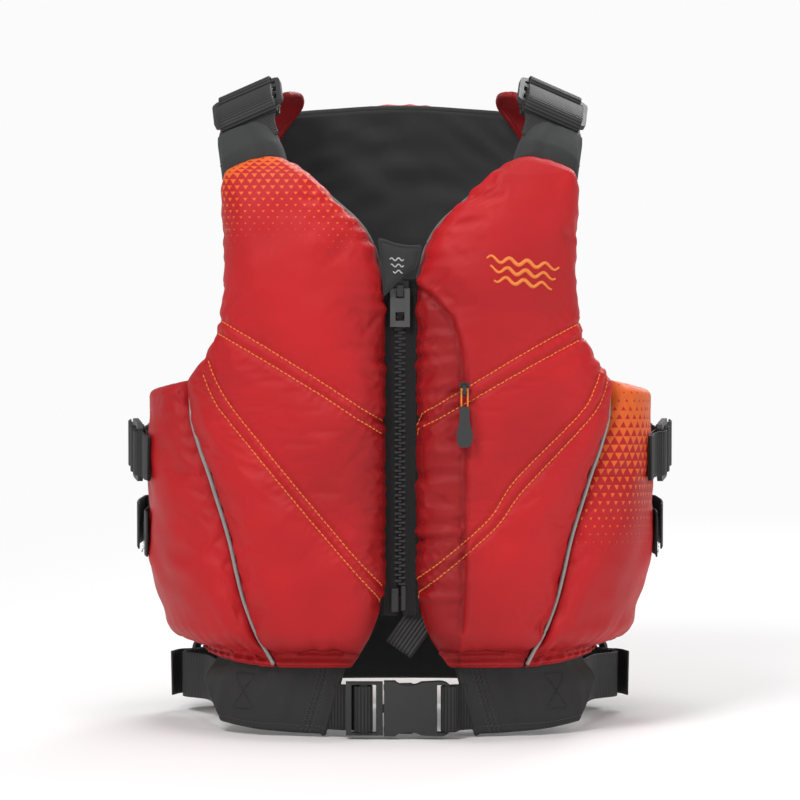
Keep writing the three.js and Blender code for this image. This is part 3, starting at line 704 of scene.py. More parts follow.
# ------------------------------------------------------------------ materials
def srgb(*levels):
    def linear(c):
        return c / 12.92 if c <= 0.04045 else ((c + 0.055) / 1.055) ** 2.4

    return tuple(linear(level / 255) for level in levels)


def scaled(color, factor, add=0.0):
    return tuple(min(1, c * factor + add) for c in color)


def material(name, color, rough, metal=0.0, sheen=0.0, spec=0.5):
    mat = bpy.data.materials.new(name)
    mat.use_nodes = True
    inputs = mat.node_tree.nodes["Principled BSDF"].inputs
    inputs["Base Color"].default_value = (*color, 1)
    inputs["Roughness"].default_value = rough
    inputs["Metallic"].default_value = metal
    inputs["Specular IOR Level"].default_value = spec
    if sheen:
        inputs["Sheen Weight"].default_value = sheen
        inputs["Sheen Roughness"].default_value = 0.45
        inputs["Sheen Tint"].default_value = (*scaled(color, 1.5, 0.15), 1)
    return mat


class Graph:
    """Short hand for building node trees."""

    def __init__(self, mat):
        self.tree = mat.node_tree
        self.shader = self.tree.nodes["Principled BSDF"]

    def node(self, kind, **props):
        n = self.tree.nodes.new(kind)
        for k, v in props.items():
            setattr(n, k, v)
        return n

    def link(self, a, b):
        self.tree.links.new(a, b)

    def feed(self, **sockets):
        """Links values to the shader's inputs, named with _ for a space."""
        for k, value in sockets.items():
            self.link(value, self.shader.inputs[k.replace("_", " ")])

    def math(self, op, *values):
        n = self.node("ShaderNodeMath", operation=op)
        for k, value in enumerate(values):
            if isinstance(value, (int, float)):
                n.inputs[k].default_value = value
            else:
                self.link(value, n.inputs[k])
        return n.outputs[0]

    def add(self, a, b):
        return self.math("ADD", a, b)

    def sub(self, a, b):
        return self.math("SUBTRACT", a, b)

    def mul(self, a, b):
        return self.math("MULTIPLY", a, b)

    def mul_add(self, a, b, c):
        return self.math("MULTIPLY_ADD", a, b, c)

    def uv(self, name="UVMap"):
        n = self.node("ShaderNodeUVMap", uv_map=name)
        parts = self.node("ShaderNodeSeparateXYZ")
        self.link(n.outputs[0], parts.inputs[0])
        return parts.outputs[0], parts.outputs[1]

    def attr(self, name):
        return self.node("ShaderNodeAttribute", attribute_name=name).outputs["Fac"]

    def noise(self, place, scale, detail=3, rough=0.5):
        n = self.node("ShaderNodeTexNoise")
        n.inputs["Scale"].default_value = scale
        n.inputs["Detail"].default_value = detail
        n.inputs["Roughness"].default_value = rough
        self.link(place, n.inputs["Vector"])
        return n.outputs["Fac"]

    def obj(self):
        return self.node("ShaderNodeTexCoord").outputs["Object"]

    def mix(self, fac, a, b):
        n = self.node("ShaderNodeMix", data_type="RGBA")
        self.link(fac, n.inputs[0])
        for k, color in ((6, a), (7, b)):
            if isinstance(color, tuple):
                n.inputs[k].default_value = (*color, 1)
            else:
                self.link(color, n.inputs[k])
        return n.outputs[2]

    def ramp(self, fac, lo, hi):
        n = self.node("ShaderNodeMapRange")
        n.inputs[1].default_value, n.inputs[2].default_value = lo, hi
        n.clamp = True
        self.link(fac, n.inputs[0])
        return n.outputs[0]

    def bump(self, height, dist, strength, prev=None):
        n = self.node("ShaderNodeBump")
        n.inputs["Strength"].default_value = strength
        n.inputs["Distance"].default_value = dist
        self.link(height, n.inputs["Height"])
        if prev is not None:
            self.link(prev, n.inputs["Normal"])
        return n.outputs[0]

    def wave(self, coord, pitch):
        """0..1 sine along a coordinate in metres, with its pitch in mm."""
        turn = self.mul(coord, 2 * math.pi * 1000 / pitch)
        return self.mul_add(self.math("SINE", turn), 0.5, 0.5)

    def weave(self, x, y, pitch):
        """A plain weave: warp over weft, as height 0..1."""
        a, b = self.wave(x, pitch), self.wave(y, pitch)
        over, under = self.mul(a, self.sub(1.15, b)), self.mul(b, self.sub(1.0, a))
        return self.math("MAXIMUM", over, under)

    def cell(self, value):
        """Place within a repeat, -0.5..0.5, and the number of the repeat."""
        whole = self.math("FLOOR", value)
        return self.sub(self.sub(value, whole), 0.5), whole

    def print_place(self):
        """Place on the print, in mm."""
        x, y = self.uv("plan")
        return self.mul(x, 1000.0), self.mul(y, 1000.0)


def triangles(row_pitch, inverted=False):
    """Rows of printed triangles, as large as the attribute ht says."""
    column_pitch = 7.6

    def mask(graph, fine):
        x, y = graph.print_place()
        wobble = graph.mul_add(fine, 0.05, -0.025)
        rise, row = graph.cell(graph.math("DIVIDE", y, row_pitch))
        odd = graph.math("MODULO", graph.add(row, 400.0), 2.0)
        column = graph.mul_add(odd, 0.5, graph.math("DIVIDE", x, column_pitch))
        aside = graph.math("ABSOLUTE", graph.cell(column)[0])
        if inverted:
            rise = graph.mul(rise, -1.0)
        slant = graph.sub(graph.mul(aside, 1.9), graph.mul(rise, 0.9))
        size = graph.math("MAXIMUM", slant, rise)
        inked = graph.ramp(graph.sub(graph.add(graph.attr("ht"), wobble), size), -0.02, 0.03)
        if inverted:
            inked = graph.mul(graph.sub(1.0, inked), graph.ramp(graph.attr("zone"), 0.45, 0.55))
        return inked

    return mask


def badge(graph, _fine):
    """A round badge of wavy bands on the back."""
    centre_x, centre_y, radius = -33.0, 396.0, 50.0
    wavelength, swing, band_pitch = 44.0, 4.4, 20.0
    x, y = graph.print_place()
    dx, dy = graph.sub(x, centre_x), graph.sub(y, centre_y)
    dist = graph.math("SQRT", graph.add(graph.mul(dx, dx), graph.mul(dy, dy)))
    bend = graph.mul(graph.math("SINE", graph.mul(dx, 2 * math.pi / wavelength)), swing)
    level = graph.math("DIVIDE", graph.add(dy, bend), band_pitch)
    off_centre = graph.math("ABSOLUTE", graph.cell(level)[0])
    band = graph.ramp(graph.sub(0.31, off_centre), -0.012, 0.012)
    return graph.mul(band, graph.ramp(graph.sub(radius, dist), -0.25, 0.25))


INK = srgb(224, 100, 34)


def nylon(name, base, dark, printed=None, rough=0.5, pitch=0.75):
    mat = material(name, base, rough=rough, sheen=0.04, spec=0.3)
    graph = Graph(mat)
    x, y = graph.uv()
    place = graph.obj()
    broad = graph.noise(place, scale=9.0, detail=2)
    fine = graph.noise(place, scale=170.0, detail=4, rough=0.65)
    between = tuple(0.5 * (a + b) for a, b in zip(base, dark))
    color = graph.mix(graph.ramp(broad, 0.35, 0.7), base, between)
    weave = graph.weave(x, y, pitch)
    # painted shade: the gaps between the woven threads are painted darker
    color = graph.mix(graph.mul(graph.sub(1.0, weave), 0.16), color, scaled(dark, 0.62))
    if printed:
        ink = graph.mix(graph.mul(fine, 0.35), INK, scaled(INK, 0.72))
        color = graph.mix(printed(graph, fine), color, ink)
    # painted shade: the cloth is painted towards the dark red where the attribute says, beside the
    # zip and above the hem, and over the pocket strip on the left front
    color = graph.mix(graph.attr("painted_shade_and_strip"), color, scaled(dark, 0.8))
    crease = graph.bump(graph.noise(place, scale=60.0, rough=0.55), dist=0.0006, strength=0.5)
    graph.feed(
        Base_Color=color,
        Roughness=graph.mul_add(fine, 0.16, rough - 0.08),
        Normal=graph.bump(weave, dist=0.00012, strength=0.55, prev=crease),
    )
    return mat


def knit(name, color, pitch=1.1, rough=0.85):
    mat = material(name, color, rough=rough, sheen=0.35, spec=0.25)
    graph = Graph(mat)
    x, y = graph.uv()
    place = graph.obj()
    weave = graph.weave(x, y, pitch)
    fuzz = graph.noise(place, scale=420.0, detail=4, rough=0.7)
    broad = graph.noise(place, scale=14.0, detail=2)
    dark = scaled(color, 0.55)
    tint = graph.mix(graph.mul(fuzz, 0.5), color, scaled(color, 1.35, 0.004))
    # painted shade: the gaps between the knitted loops are painted darker
    tint = graph.mix(graph.mul(graph.sub(1.0, weave), 0.5), tint, dark)
    tint = graph.mix(graph.mul(broad, 0.25), tint, dark)
    soft = graph.bump(graph.noise(place, scale=90.0), dist=0.0005, strength=0.35)
    woven = graph.bump(weave, dist=0.00022, strength=0.7, prev=soft)
    graph.feed(
        Base_Color=tint,
        Roughness=graph.mul_add(fuzz, 0.15, rough - 0.1),
        Normal=graph.bump(fuzz, dist=0.0001, strength=0.5, prev=woven),
    )
    return mat


def woven_strap(name, color, rib_pitch, cord_pitch, lengthwise=False):
    """Webbing with ribs across the strap, or lengthwise, and finer cords the other way."""
    mat = material(name, color, rough=0.66, sheen=0.1, spec=0.25)
    graph = Graph(mat)
    x, y = graph.uv()
    ribs = graph.wave(x if lengthwise else y, rib_pitch)
    cords = graph.wave(y if lengthwise else x, cord_pitch)
    height = graph.add(graph.mul(ribs, 0.75), graph.mul(graph.mul(cords, ribs), 0.22))
    fuzz = graph.noise(graph.obj(), scale=500.0, detail=4, rough=0.7)
    # painted light and shade: the crowns of the ribs are painted lighter and the valleys between
    # them darker
    tint = graph.mix(height, scaled(color, 0.4), scaled(color, 1.7, 0.006))
    ribbed = graph.bump(height, dist=0.00035, strength=0.9)
    graph.feed(
        Base_Color=graph.mix(graph.mul(fuzz, 0.35), tint, scaled(color, 0.7)),
        Roughness=graph.mul_add(fuzz, 0.2, 0.5),
        Normal=graph.bump(fuzz, dist=0.0001, strength=0.5, prev=ribbed),
    )
    return mat


def plastic(name, color, rough, grain=900.0):
    mat = material(name, color, rough=rough, spec=0.36)
    graph = Graph(mat)
    place = graph.obj()
    speck = graph.noise(place, scale=grain, rough=0.6)
    broad = graph.noise(place, scale=60.0)
    tint = graph.mix(graph.mul(speck, 0.4), color, scaled(color, 1.35, 0.002))
    # painted highlight: convex moulded edges are painted a lighter grey
    edge = graph.ramp(graph.node("ShaderNodeNewGeometry").outputs["Pointiness"], 0.51, 0.6)
    graph.feed(
        Base_Color=graph.mix(graph.mul(edge, 0.18), tint, scaled(color, 2.2, 0.02)),
        Roughness=graph.mul_add(broad, 0.16, rough - 0.08),
        Normal=graph.bump(speck, dist=0.00006, strength=0.6),
    )
    return mat


def speckle(mat, scale, low, high, dist):
    """Colour and bump from one fine noise."""
    graph = Graph(mat)
    grain = graph.noise(graph.obj(), scale=scale, detail=2)
    normal = graph.bump(grain, dist=dist, strength=0.6)
    graph.feed(Base_Color=graph.mix(grain, low, high), Normal=normal)
    return mat


def thread(name, color):
    mat = material(name, color, rough=0.5, sheen=0.2)
    return speckle(mat, 1500.0, scaled(color, 0.72), scaled(color, 1.2), dist=0.0001)


RED, RED_DARK = srgb(194, 20, 27), srgb(140, 10, 16)
RED_NYLON = nylon("red_nylon", RED, RED_DARK)
RED_SHADE = nylon("red_nylon_shade", srgb(152, 16, 22), srgb(112, 10, 15))
RED_PRINTED = nylon("red_nylon_printed", RED, RED_DARK, triangles(row_pitch=4.9))
RED_SIDE = nylon("red_nylon_side_print", RED, RED_DARK, triangles(row_pitch=6.6, inverted=True))
RED_BADGE = nylon("red_nylon_badge", RED, RED_DARK, badge)
# painted shade: the yoke's strap cloth is a darker copy of the red, for the shade it lies in at the
# back
RED_STRAP_SHADED = nylon("red_strap_cordura_painted_shade", srgb(146, 15, 21), srgb(100, 9, 13), pitch=1.0, rough=0.6)
LINING = knit("charcoal_lining", srgb(54, 54, 55))
WAIST_KNIT = knit("charcoal_waist", srgb(53, 53, 53), pitch=1.3)
SHOULDER_KNIT = knit("charcoal_shoulder", srgb(53, 54, 54), pitch=1.2)
WEBBING = woven_strap("black_webbing", srgb(42, 42, 43), rib_pitch=2.7, cord_pitch=1.5)
TAB_WEBBING = woven_strap("ribbed_webbing", srgb(46, 46, 47), rib_pitch=3.0, cord_pitch=1.25,
                          lengthwise=True)
ACETAL = plastic("black_acetal", srgb(42, 42, 43), rough=0.5)
ZIP_PLASTIC = plastic("zip_plastic", srgb(40, 40, 41), rough=0.35)
PULL_GREY = plastic("zip_pull_grey", srgb(68, 69, 70), rough=0.4)
RUBBER = plastic("black_rubber", srgb(44, 44, 45), rough=0.6, grain=600)
ZIP_TAPE = knit("zip_tape", srgb(38, 38, 38), pitch=0.8)
ORANGE_THREAD = thread("orange_thread", srgb(240, 136, 58))
RED_THREAD = thread("red_thread", srgb(128, 20, 26))
BLACK_THREAD = thread("black_thread", srgb(30, 30, 30))
GREY_THREAD = thread("grey_thread", srgb(76, 76, 76))
ORANGE_CORD = thread("orange_cord", srgb(236, 126, 26))
BINDING = knit("grey_binding", srgb(112, 116, 114), pitch=0.9, rough=0.6)
PIPING = speckle(
    material("reflective_piping", srgb(146, 148, 145), rough=0.32, metal=0.25, spec=0.6),
    1400.0, srgb(104, 106, 104), srgb(176, 178, 175), dist=0.00008,
)

# ------------------------------------------------------------------ panel outlines
SEAM_HEIGHT = 23.0  # panel height along the seam between front and side
FRONT_FOAM, SIDE_FOAM, BACK_FOAM = 39.0, 34.0, 35.0
# inner x, z, outer x, z
FRONT_ROWS = [
    (40, 59, 98, 58), (25, 82, 109, 84), (16, 108, 117, 110), (13.8, 135, 122, 135),
    (13.8, 158, 126, 158), (13.8, 180, 131, 180), (13.8, 203, 137, 203), (13.8, 226, 143, 226),
    (13.8, 250, 149, 248), (13.8, 275, 154, 270), (13.8, 300, 157, 289), (13.8, 325, 147, 311),
    (13.8, 350, 139, 334), (15.5, 375, 136, 360), (21, 400, 135.5, 386), (33, 420, 136, 408),
    (51, 436, 136.5, 426), (70, 452, 136, 441), (92, 471, 134, 456),
]
# front edge of the side panel: x, z
SIDE_FRONT = [(98, 58), (109, 84), (117, 110), (122, 135), (126, 158), (131, 180), (137, 203),
              (143, 226), (149, 248), (154, 270), (158, 288), (158, 290)]
# rear edge of the side panel: angle, z
SIDE_REAR = [(84, 62), (93, 72), (97, 90), (98, 110), (98, 135), (97.5, 158), (96.8, 180),
             (96, 203), (95.5, 226), (94.5, 250), (92.5, 268), (89.5, 279)]
# edge angle, z at the edge, z in the middle
BACK_ROWS = [
    (138, 86, 76), (118, 96, 92), (108.5, 113, 112), (106, 136, 136), (105.5, 165, 165),
    (105.5, 195, 195), (106.5, 222, 222), (113, 250, 250), (123.5, 275, 278), (129.5, 300, 304),
    (132, 325, 330), (133.8, 352, 357), (135.3, 380, 385), (136, 405, 412), (140, 432, 440),
    (146, 462, 470), (153.5, 493, 498),
]


def front_row(xi, zi, xo, zo):
    middle = (zi + zo) / 2 + (4 if zi > 440 else 0)
    return [(angle_at(xi), zi), (angle_at(xi + (xo - xi) * 0.5), middle), (angle_at(xo), zo)]


def side_row(x, z, rear, rear_z):
    first = float(angle_at(x)) + 1.3
    return [(first, z), (first + (rear - first) * 0.5, z + (rear_z - z) * 0.6), (rear, rear_z)]


def back_row(edge, edge_z, middle_z):
    half, half_z = edge + (180 - edge) * 0.5, (edge_z + middle_z) / 2
    return [(edge, edge_z), (half, half_z), (180, middle_z), (360 - half, half_z),
            (360 - edge, edge_z)]


def xz_net(rows):
    """A net over the front half of the body, from rows of (x, z)."""
    return net([[(angle_at(x), z) for x, z in row] for row in rows])


FRONT_NET = net([front_row(*row) for row in FRONT_ROWS])
SIDE_NET = net([side_row(*front, *rear) for front, rear in zip(SIDE_FRONT, SIDE_REAR)])
BACK_NET = net([back_row(*row) for row in BACK_ROWS])

# ------------------------------------------------------------------ lines drawn on the panels
# (x, z) as seen in plan. The right front is worked out on +X, so its x is mirrored.
RIGHT_LINES = [
    [(145.52, 345.44), (108.8, 323.68), (61.2, 293.76), (16.32, 263.84)],
    [(146.88, 334.56), (108.8, 312.12), (61.2, 282.88), (16.32, 252.96)],
    [(155.04, 312.8), (148.24, 295.12), (131.92, 269.28), (74.8, 198.56), (16.32, 129.2)],
    [(159.12, 301.92), (152.32, 284.24), (138.72, 263.84), (78.88, 190.4), (16.32, 116.96)],
]
LEFT_LINES = [
    [(146.88, 344.08), (108.8, 323.68), (54.4, 291.04), (9.52, 263.84)],
    [(152.32, 333.2), (111.52, 311.44), (57.12, 280.16), (9.52, 252.96)],
    [(163.2, 307.36), (157.76, 291.04), (145.52, 269.28), (92.48, 214.88), (69.36, 180.88),
     (12.24, 131.92)],
    [(168.64, 300.56), (164.56, 284.24), (152.32, 263.84), (99.28, 206.72), (74.8, 174.08),
     (13.6, 121.04)],
]
BACK_LINES = [
    [(164.56, 282.88), (150.96, 238), (126.48, 180.88), (110.16, 140.08), (84.32, 89.76)],
    [(155.04, 272), (142.8, 238), (118.32, 180.88), (100.64, 140.08), (74.8, 89.76)],
    [(-152.32, 282.88), (-140.08, 244.8), (-104.72, 175.44), (-85.68, 136), (-63.92, 89.76)],
    [(-142.8, 269.28), (-131.92, 238), (-93.84, 175.44), (-76.16, 136), (-54.4, 89.76)],
]
# the pocket seam beside the zip on the left front, from the top down
POCKET_SEAM = np.array([(16, 372), (24, 366), (33, 356), (42, 344), (48, 326), (51.5, 300),
                        (52, 270), (52, 200), (52, 130), (50, 92)], float)
POCKET_STITCHES = [
    [(24, 369), (36, 358), (46, 344), (52, 326), (55.5, 300), (56, 270), (56, 200), (56, 130),
     (54, 96)],
    [(19, 365), (29, 356), (38, 344), (44, 326), (47.5, 300), (48, 270), (48, 200), (48, 130),
     (46, 96)],
]
CINCH_Z = 159  # middle of the strap across the back

# ------------------------------------------------------------------ creases
BROAD = Noise(11, 22, 75)
SMALL = Noise(12, 26, 34, (1.5, 1.0))
GATHER = Noise(13, 16, 17, (3.2, 1.0))


def groove(panel, lines, depth, seed):
    """Sewn-down channels with puckers beside them."""
    width, pucker, pitch = 2.6, 0.35, 7.0
    wander = Noise(seed, 10, 26)
    relief = 0
    for line in lines:
        dist, along = polyline_distance(panel.plan(), line)
        relief = relief - depth * bell(dist, width)
        phase = 2 * np.pi * along / pitch + 1.3 * wander(along, dist)
        relief = relief + pucker * np.cos(phase) * np.exp(-((dist - 3.2) ** 2) / 14.0)
    return relief


def hem_relief(panel):
    """Two soft rolls between the rows of hem stitching."""
    x = panel.dist[BOTTOM]
    inside = np.clip((HEM - x) / 1.2, 0, 1)
    return inside * (1.9 * np.abs(np.sin(np.pi * np.clip(x, 0, HEM) / (HEM / 2))) - 0.4)


def border_gathers(panel, sizes, upright, level):
    """Gathers that die away from each border; sizes are (height, reach)."""
    relief = 0
    for side, (height, reach) in enumerate(sizes):
        dist = np.maximum(0, panel.dist[side] - (HEM if side == BOTTOM else 0))
        folds = upright if side in (START, END) else level
        relief = relief + height * np.exp(-dist / reach) * folds
    return relief


def pocket_x(z):
    return np.interp(z, POCKET_SEAM[::-1, 1], POCKET_SEAM[::-1, 0])


def pocket_relief(panel, x, z):
    """A lower, gathered strip beside the zip, and the lip of the main panel over it."""
    dist = polyline_distance(panel.plan(), POCKET_SEAM)[0]
    seam_x = pocket_x(z)
    inside = smooth01((seam_x - x) / 3.0) * (z < 374)
    folds = GATHER(x * 0.25, z * 1.15 + 90) * smooth01((z - 90) / 30)
    relief = inside * (0.95 * folds - 2.2) - 3.2 * bell(dist, 2.0)
    relief = relief + 1.5 * bell(dist - 5, 3.2) * (x > seam_x)
    return relief + 0.55 * np.exp(-dist / 11.0) * GATHER(x * 0.3 + 30, z * 0.9)


def front_detail(lines, seed, pocket=False):
    def detail(panel):
        inner, outer, low, top = panel.dist
        x, z = panel.seen()
        body = smooth01((np.minimum.reduce(panel.dist) - 4) / 22)
        relief = 0.9 * BROAD(x + seed * 50, z) * body + 0.28 * SMALL(x + 9 * seed, z) * body
        relief = relief + groove(panel, lines, 1.7, seed)
        # gathers along the zip, the top, the outer border and the hem
        near_zip = np.exp(-inner / 13.0) * smooth01((z - 95) / 30)
        near_hem = np.exp(-np.maximum(0, low - HEM) / 12.0) * (low > 12)
        relief = relief + near_zip * GATHER(x * 0.3, z * 1.25 + 40 * seed)
        relief = relief + 0.5 * np.exp(-top / 10.0) * GATHER(z * 0.3, x * 1.2)
        relief = relief + 0.55 * np.exp(-outer / 9.0) * GATHER(x * 0.3 + 70, z * 1.1)
        relief = relief + 0.9 * near_hem * GATHER(z * 0.3, x * 0.9 + 20 * seed)
        relief = relief + hem_relief(panel)
        return relief + pocket_relief(panel, x, z) if pocket else relief

    return detail


def side_detail(seed):
    def detail(panel):
        body = smooth01((np.minimum.reduce(panel.dist) - 3) / 18)
        x, z = panel.across, panel.z
        relief = 0.9 * BROAD(x + seed * 31, z) * body + 0.45 * SMALL(x, z + seed * 17) * body
        relief = relief + border_gathers(
            panel, ((0.45, 8), (0.6, 9), (0.9, 12), (0.5, 8)),
            GATHER(x * 0.3 + seed, z * 1.1), GATHER(z * 0.3, x * 1.1 + seed))
        return relief + hem_relief(panel)

    return detail


def back_detail(panel):
    body = smooth01((np.minimum.reduce(panel.dist) - 4) / 24)
    x, z = panel.seen()
    relief = 0.7 * BROAD(x, z + 300) * body + 0.2 * SMALL(x + 200, z) * body
    relief = relief + groove(panel, BACK_LINES, 1.4, 9)
    # the cinch strap bites into the foam
    from_strap = np.abs(panel.z - CINCH_Z)
    relief = relief - 1.6 * np.exp(-((from_strap / 23) ** 4))
    relief = relief + 0.5 * bell(from_strap - 24, 7) * GATHER(x * 0.3, x * 0.9)
    relief = relief + border_gathers(panel, ((0.5, 9), (0.5, 9), (0.9, 12), (0.6, 9)),
                                     GATHER(x * 0.3, z * 1.1), GATHER(z * 0.3, x))
    return relief + hem_relief(panel)


# ------------------------------------------------------------------ the five padded panels
FRONT_FORM = dict(
    shape=FRONT_NET, foam=FRONT_FOAM, grid=(50, 128),
    widths=(lambda v: 30 - 16 * smooth01((v - 0.78) / 0.16),
            lambda v: 30 - 12 * smooth01((v - 0.82) / 0.14), 24, 16),
    edges=(EDGE, lambda v: SEAM_HEIGHT + (EDGE - SEAM_HEIGHT) * smooth01((v - 0.45) / 0.11),
           EDGE, EDGE),
    sim=dict(pressure=3.2, grow=0.009, cap=5.5), inset=3.0, pin_reach=2.4,
)
SIDE_FORM = dict(
    shape=SIDE_NET, foam=SIDE_FOAM, grid=(40, 72), widths=(16, 20, 22, 13),
    edges=(SEAM_HEIGHT, EDGE, EDGE, EDGE),
    sim=dict(pressure=3.2, grow=0.012, cap=4.5), inset=2.5,
)
FRONT = {
    "right": Panel(**FRONT_FORM, detail=front_detail(RIGHT_LINES, 5), sign=-1, pinned=RIGHT_LINES),
    "left": Panel(**FRONT_FORM, detail=front_detail(LEFT_LINES, 8, pocket=True),
                  pinned=LEFT_LINES),
}
SIDE = {
    "right": Panel(**SIDE_FORM, detail=side_detail(3), sign=-1),
    "left": Panel(**SIDE_FORM, detail=side_detail(6)),
}
BACK = Panel(
    shape=BACK_NET, foam=BACK_FOAM, grid=(112, 126), widths=(30, 30, 24, 26), edges=(EDGE,) * 4,
    sim=dict(pressure=3.0, grow=0.006, cap=5.0), inset=3.0, detail=back_detail, view=back_plan,
    pinned=BACK_LINES, pin_reach=2.6,
)


def coverage_shoulder(panel):
    """Size of the printed triangles near the right shoulder."""
    x, z = panel.seen()
    x = -x
    z = z - 0.42 * np.maximum(0, z - 466)
    below = np.interp(x, [-150, -140, -118, -92, -70, -50], [455, 465, 478, 476, 456, 434]) - z
    size = 0.42 - below / 175.0 - np.maximum(0, (x + 104) / 60.0) * 0.2
    size = size + 0.7 * bell(np.maximum(0, below + 2), 4.5) * smooth01((-x - 92) / 16)
    return np.where(z < 380, -1, np.clip(size, -1, 0.98))


def coverage_side(panel):
    """Size of the triangles down the left side panel."""
    z = panel.plan()[..., 1]
    size = 0.14 + (286 - z) / 108.0 + np.maximum(0, (panel.face[..., 1] + 30) / 38.0)
    return np.clip(size, 0.14, 1.6)


def painted_edge_shade(panel):
    """Painted shade: cloth painted darker beside its own turned edges, along the zip and above the
    hem.
    """
    inner, hem = panel.dist[START], np.abs(panel.dist[BOTTOM] - 14)
    zip_shade = (0.42 * bell(inner, 13) + 0.22 * bell(inner, 32)) * smooth01((400 - panel.z) / 70)
    return np.clip(zip_shade + 0.4 * bell(hem, 3.5), 0, 0.9)


def pocket_strip_and_painted_shade(panel):
    # Painted shade in the groove of the pocket seam and beside the turned edges; the strip between
    # the zip and the pocket seam is painted darker too.
    x, z = panel.seen()
    inside = smooth01((pocket_x(z) - x) / 2.0) * (z < 372) * smooth01((372 - z) / 6)
    dist = polyline_distance(panel.plan(), POCKET_SEAM)[0]
    return np.maximum(np.maximum(0.62 * inside, 0.95 * bell(dist, 1.9)), painted_edge_shade(panel))


def print_plan(panel, at):
    """Lies along the cloth from one column, so that the print doesn't stretch where it turns."""
    mid = int(at * (panel.face.shape[1] - 1))
    x = panel.face[:, mid : mid + 1, 0] + panel.across - panel.across[:, mid : mid + 1]
    return np.stack([x, panel.plan()[..., 1]], -1)


def cover(o, kind, side):
    piece(o, side + "_front", "red_nylon", f"{kind}_cover_{side}", f"{kind}_foam_{side}")


right, left = FRONT["right"], FRONT["left"]
attrs = {"ht": coverage_shoulder(right), "painted_shade_and_strip": painted_edge_shade(right)}
cover(right.build("front_cover_r", RED_PRINTED, attrs, print_plan(right, 0.5)), "front", "right")
cover(left.build("front_cover_l", RED_NYLON, {"painted_shade_and_strip": pocket_strip_and_painted_shade(left)}), "front", "left")
right, left = SIDE["right"], SIDE["left"]
cover(right.build("side_cover_r", RED_NYLON), "side", "right")
attrs = {"ht": coverage_side(left), "zone": np.ones(left.z.shape)}
cover(left.build("side_cover_l", RED_SIDE, attrs, print_plan(left, 0.0)), "side", "left")
piece(BACK.build("back_cover_panel", RED_BADGE), "back", "red_nylon", "back_cover", "back_foam")


# ------------------------------------------------------------------ lining sheets
def lining(name, shape, grid, sign, body, seed, *nodes):
    def inner(sheet):
        across, up = sheet.dist[START], sheet.dist[BOTTOM]
        body_share = smooth01(sheet.away / 14)
        folds = 1.1 * SMALL(across + seed * 13, up) + 0.8 * BROAD(across + 77 * seed, up)
        height = -1.5 + body_share * folds - 2.2 * smooth01(sheet.away / 30)
        return np.minimum(height, 0.2)

    sheet = Sheet(name, shape, 0.8, inner, grid, LINING, sign, ease=0)
    piece(sheet.object, body, "charcoal_fabric", *nodes)


lining("front_lining_r", FRONT_NET, (40, 90), -1, "right_front", 1, "front_liner_right")
lining("front_lining_l", FRONT_NET, (40, 90), 1, "left_front", 2, "front_liner_left")
lining("side_lining_r", SIDE_NET, (26, 40), -1, "right_front", 3)
lining("side_lining_l", SIDE_NET, (26, 40), 1, "left_front", 4)
lining("back_lining", BACK_NET, (90, 100), 1, "back", 5, "back_liner")

# ------------------------------------------------------------------ stitching on the panels
QUILT_THREAD = dict(length=3.1, gap=0.8, radius=0.48)
BACK_QUILT_THREAD = dict(length=3.1, gap=0.8, radius=0.45)
HEM_THREAD = dict(length=2.4, gap=1.0, radius=0.32)
BORDER_THREAD = dict(length=2.4, gap=1.0, radius=0.3)

for side, lines in (("right", RIGHT_LINES), ("left", LEFT_LINES)):
    paths = [FRONT[side].line(line) for line in lines]
    sew("orange_stitching_" + side[0], ORANGE_THREAD, side + "_front", "cord",
        (QUILT_THREAD, paths))
paths = [BACK.line(line) for line in BACK_LINES]
sew("orange_stitching_back", ORANGE_THREAD, "back", "cord", (BACK_QUILT_THREAD, paths))


def hem_rows(panel):
    return HEM_THREAD, [edge_path(panel, BOTTOM, inset) for inset in (1.2, 6.6, 12.4)]


for side, panel in FRONT.items():
    paths = [edge_path(panel, START, 3.2, lo=0.15, hi=0.86), edge_path(panel, TOP, 4.0)]
    if side == "left":
        paths += [panel.line(line) for line in POCKET_STITCHES]
    sew("red_stitching_" + side[0], RED_THREAD, side + "_front", "red_nylon",
        hem_rows(panel), (BORDER_THREAD, paths))
for side, panel in SIDE.items():
    sew("red_stitching_side_" + side[0], RED_THREAD, side + "_front", "red_nylon",
        hem_rows(panel), (BORDER_THREAD, [edge_path(panel, END, 3.0)]))
sew("red_stitching_back", RED_THREAD, "back", "red_nylon", hem_rows(BACK))


# ------------------------------------------------------------------ piping and bindings
def smoothed(path):
    kernel = np.hanning(19)[1:-1]
    ends = 2 * path[:1] - path[8:0:-1], 2 * path[-1:] - path[-2:-10:-1]
    padded = np.concatenate([ends[0], path, ends[1]])
    kernel = kernel / kernel.sum()
    return np.stack([np.convolve(padded[:, k], kernel, mode="valid") for k in range(3)], -1)


def seam_piping(side):
    """Piping in the seam between a side panel and its front."""
    panel = SIDE[side]
    edge = panel.face[:, 0] * panel.flip
    front = FRONT[side].face[:, -1] * panel.flip
    order = np.argsort(front[: int(0.53 * len(front)), 2])
    level = [np.interp(edge[:, 2], front[order, 2], front[order, k]) for k in range(3)]
    outward = unit(panel.normal[:, 0] * panel.flip + np.array([panel.sign * 0.45, -0.9, 0.0]))
    share = np.arange(len(edge)) / len(edge)
    lift = 2.4 + 1.6 * smooth01((share - 0.35) / 0.4) + 2.2 * smooth01((share - 0.78) / 0.16)
    path = 0.5 * (edge + np.stack(level, -1)) + outward * lift[:, None]
    path = smoothed(path[int(0.02 * len(edge)) : int(0.992 * len(edge))])
    o = tube("seam_piping_" + side[0], spline(path[::5], 2.0), 1.75, PIPING, around=12)
    piece(o, side + "_front", "reflective", "front_piping_" + side)


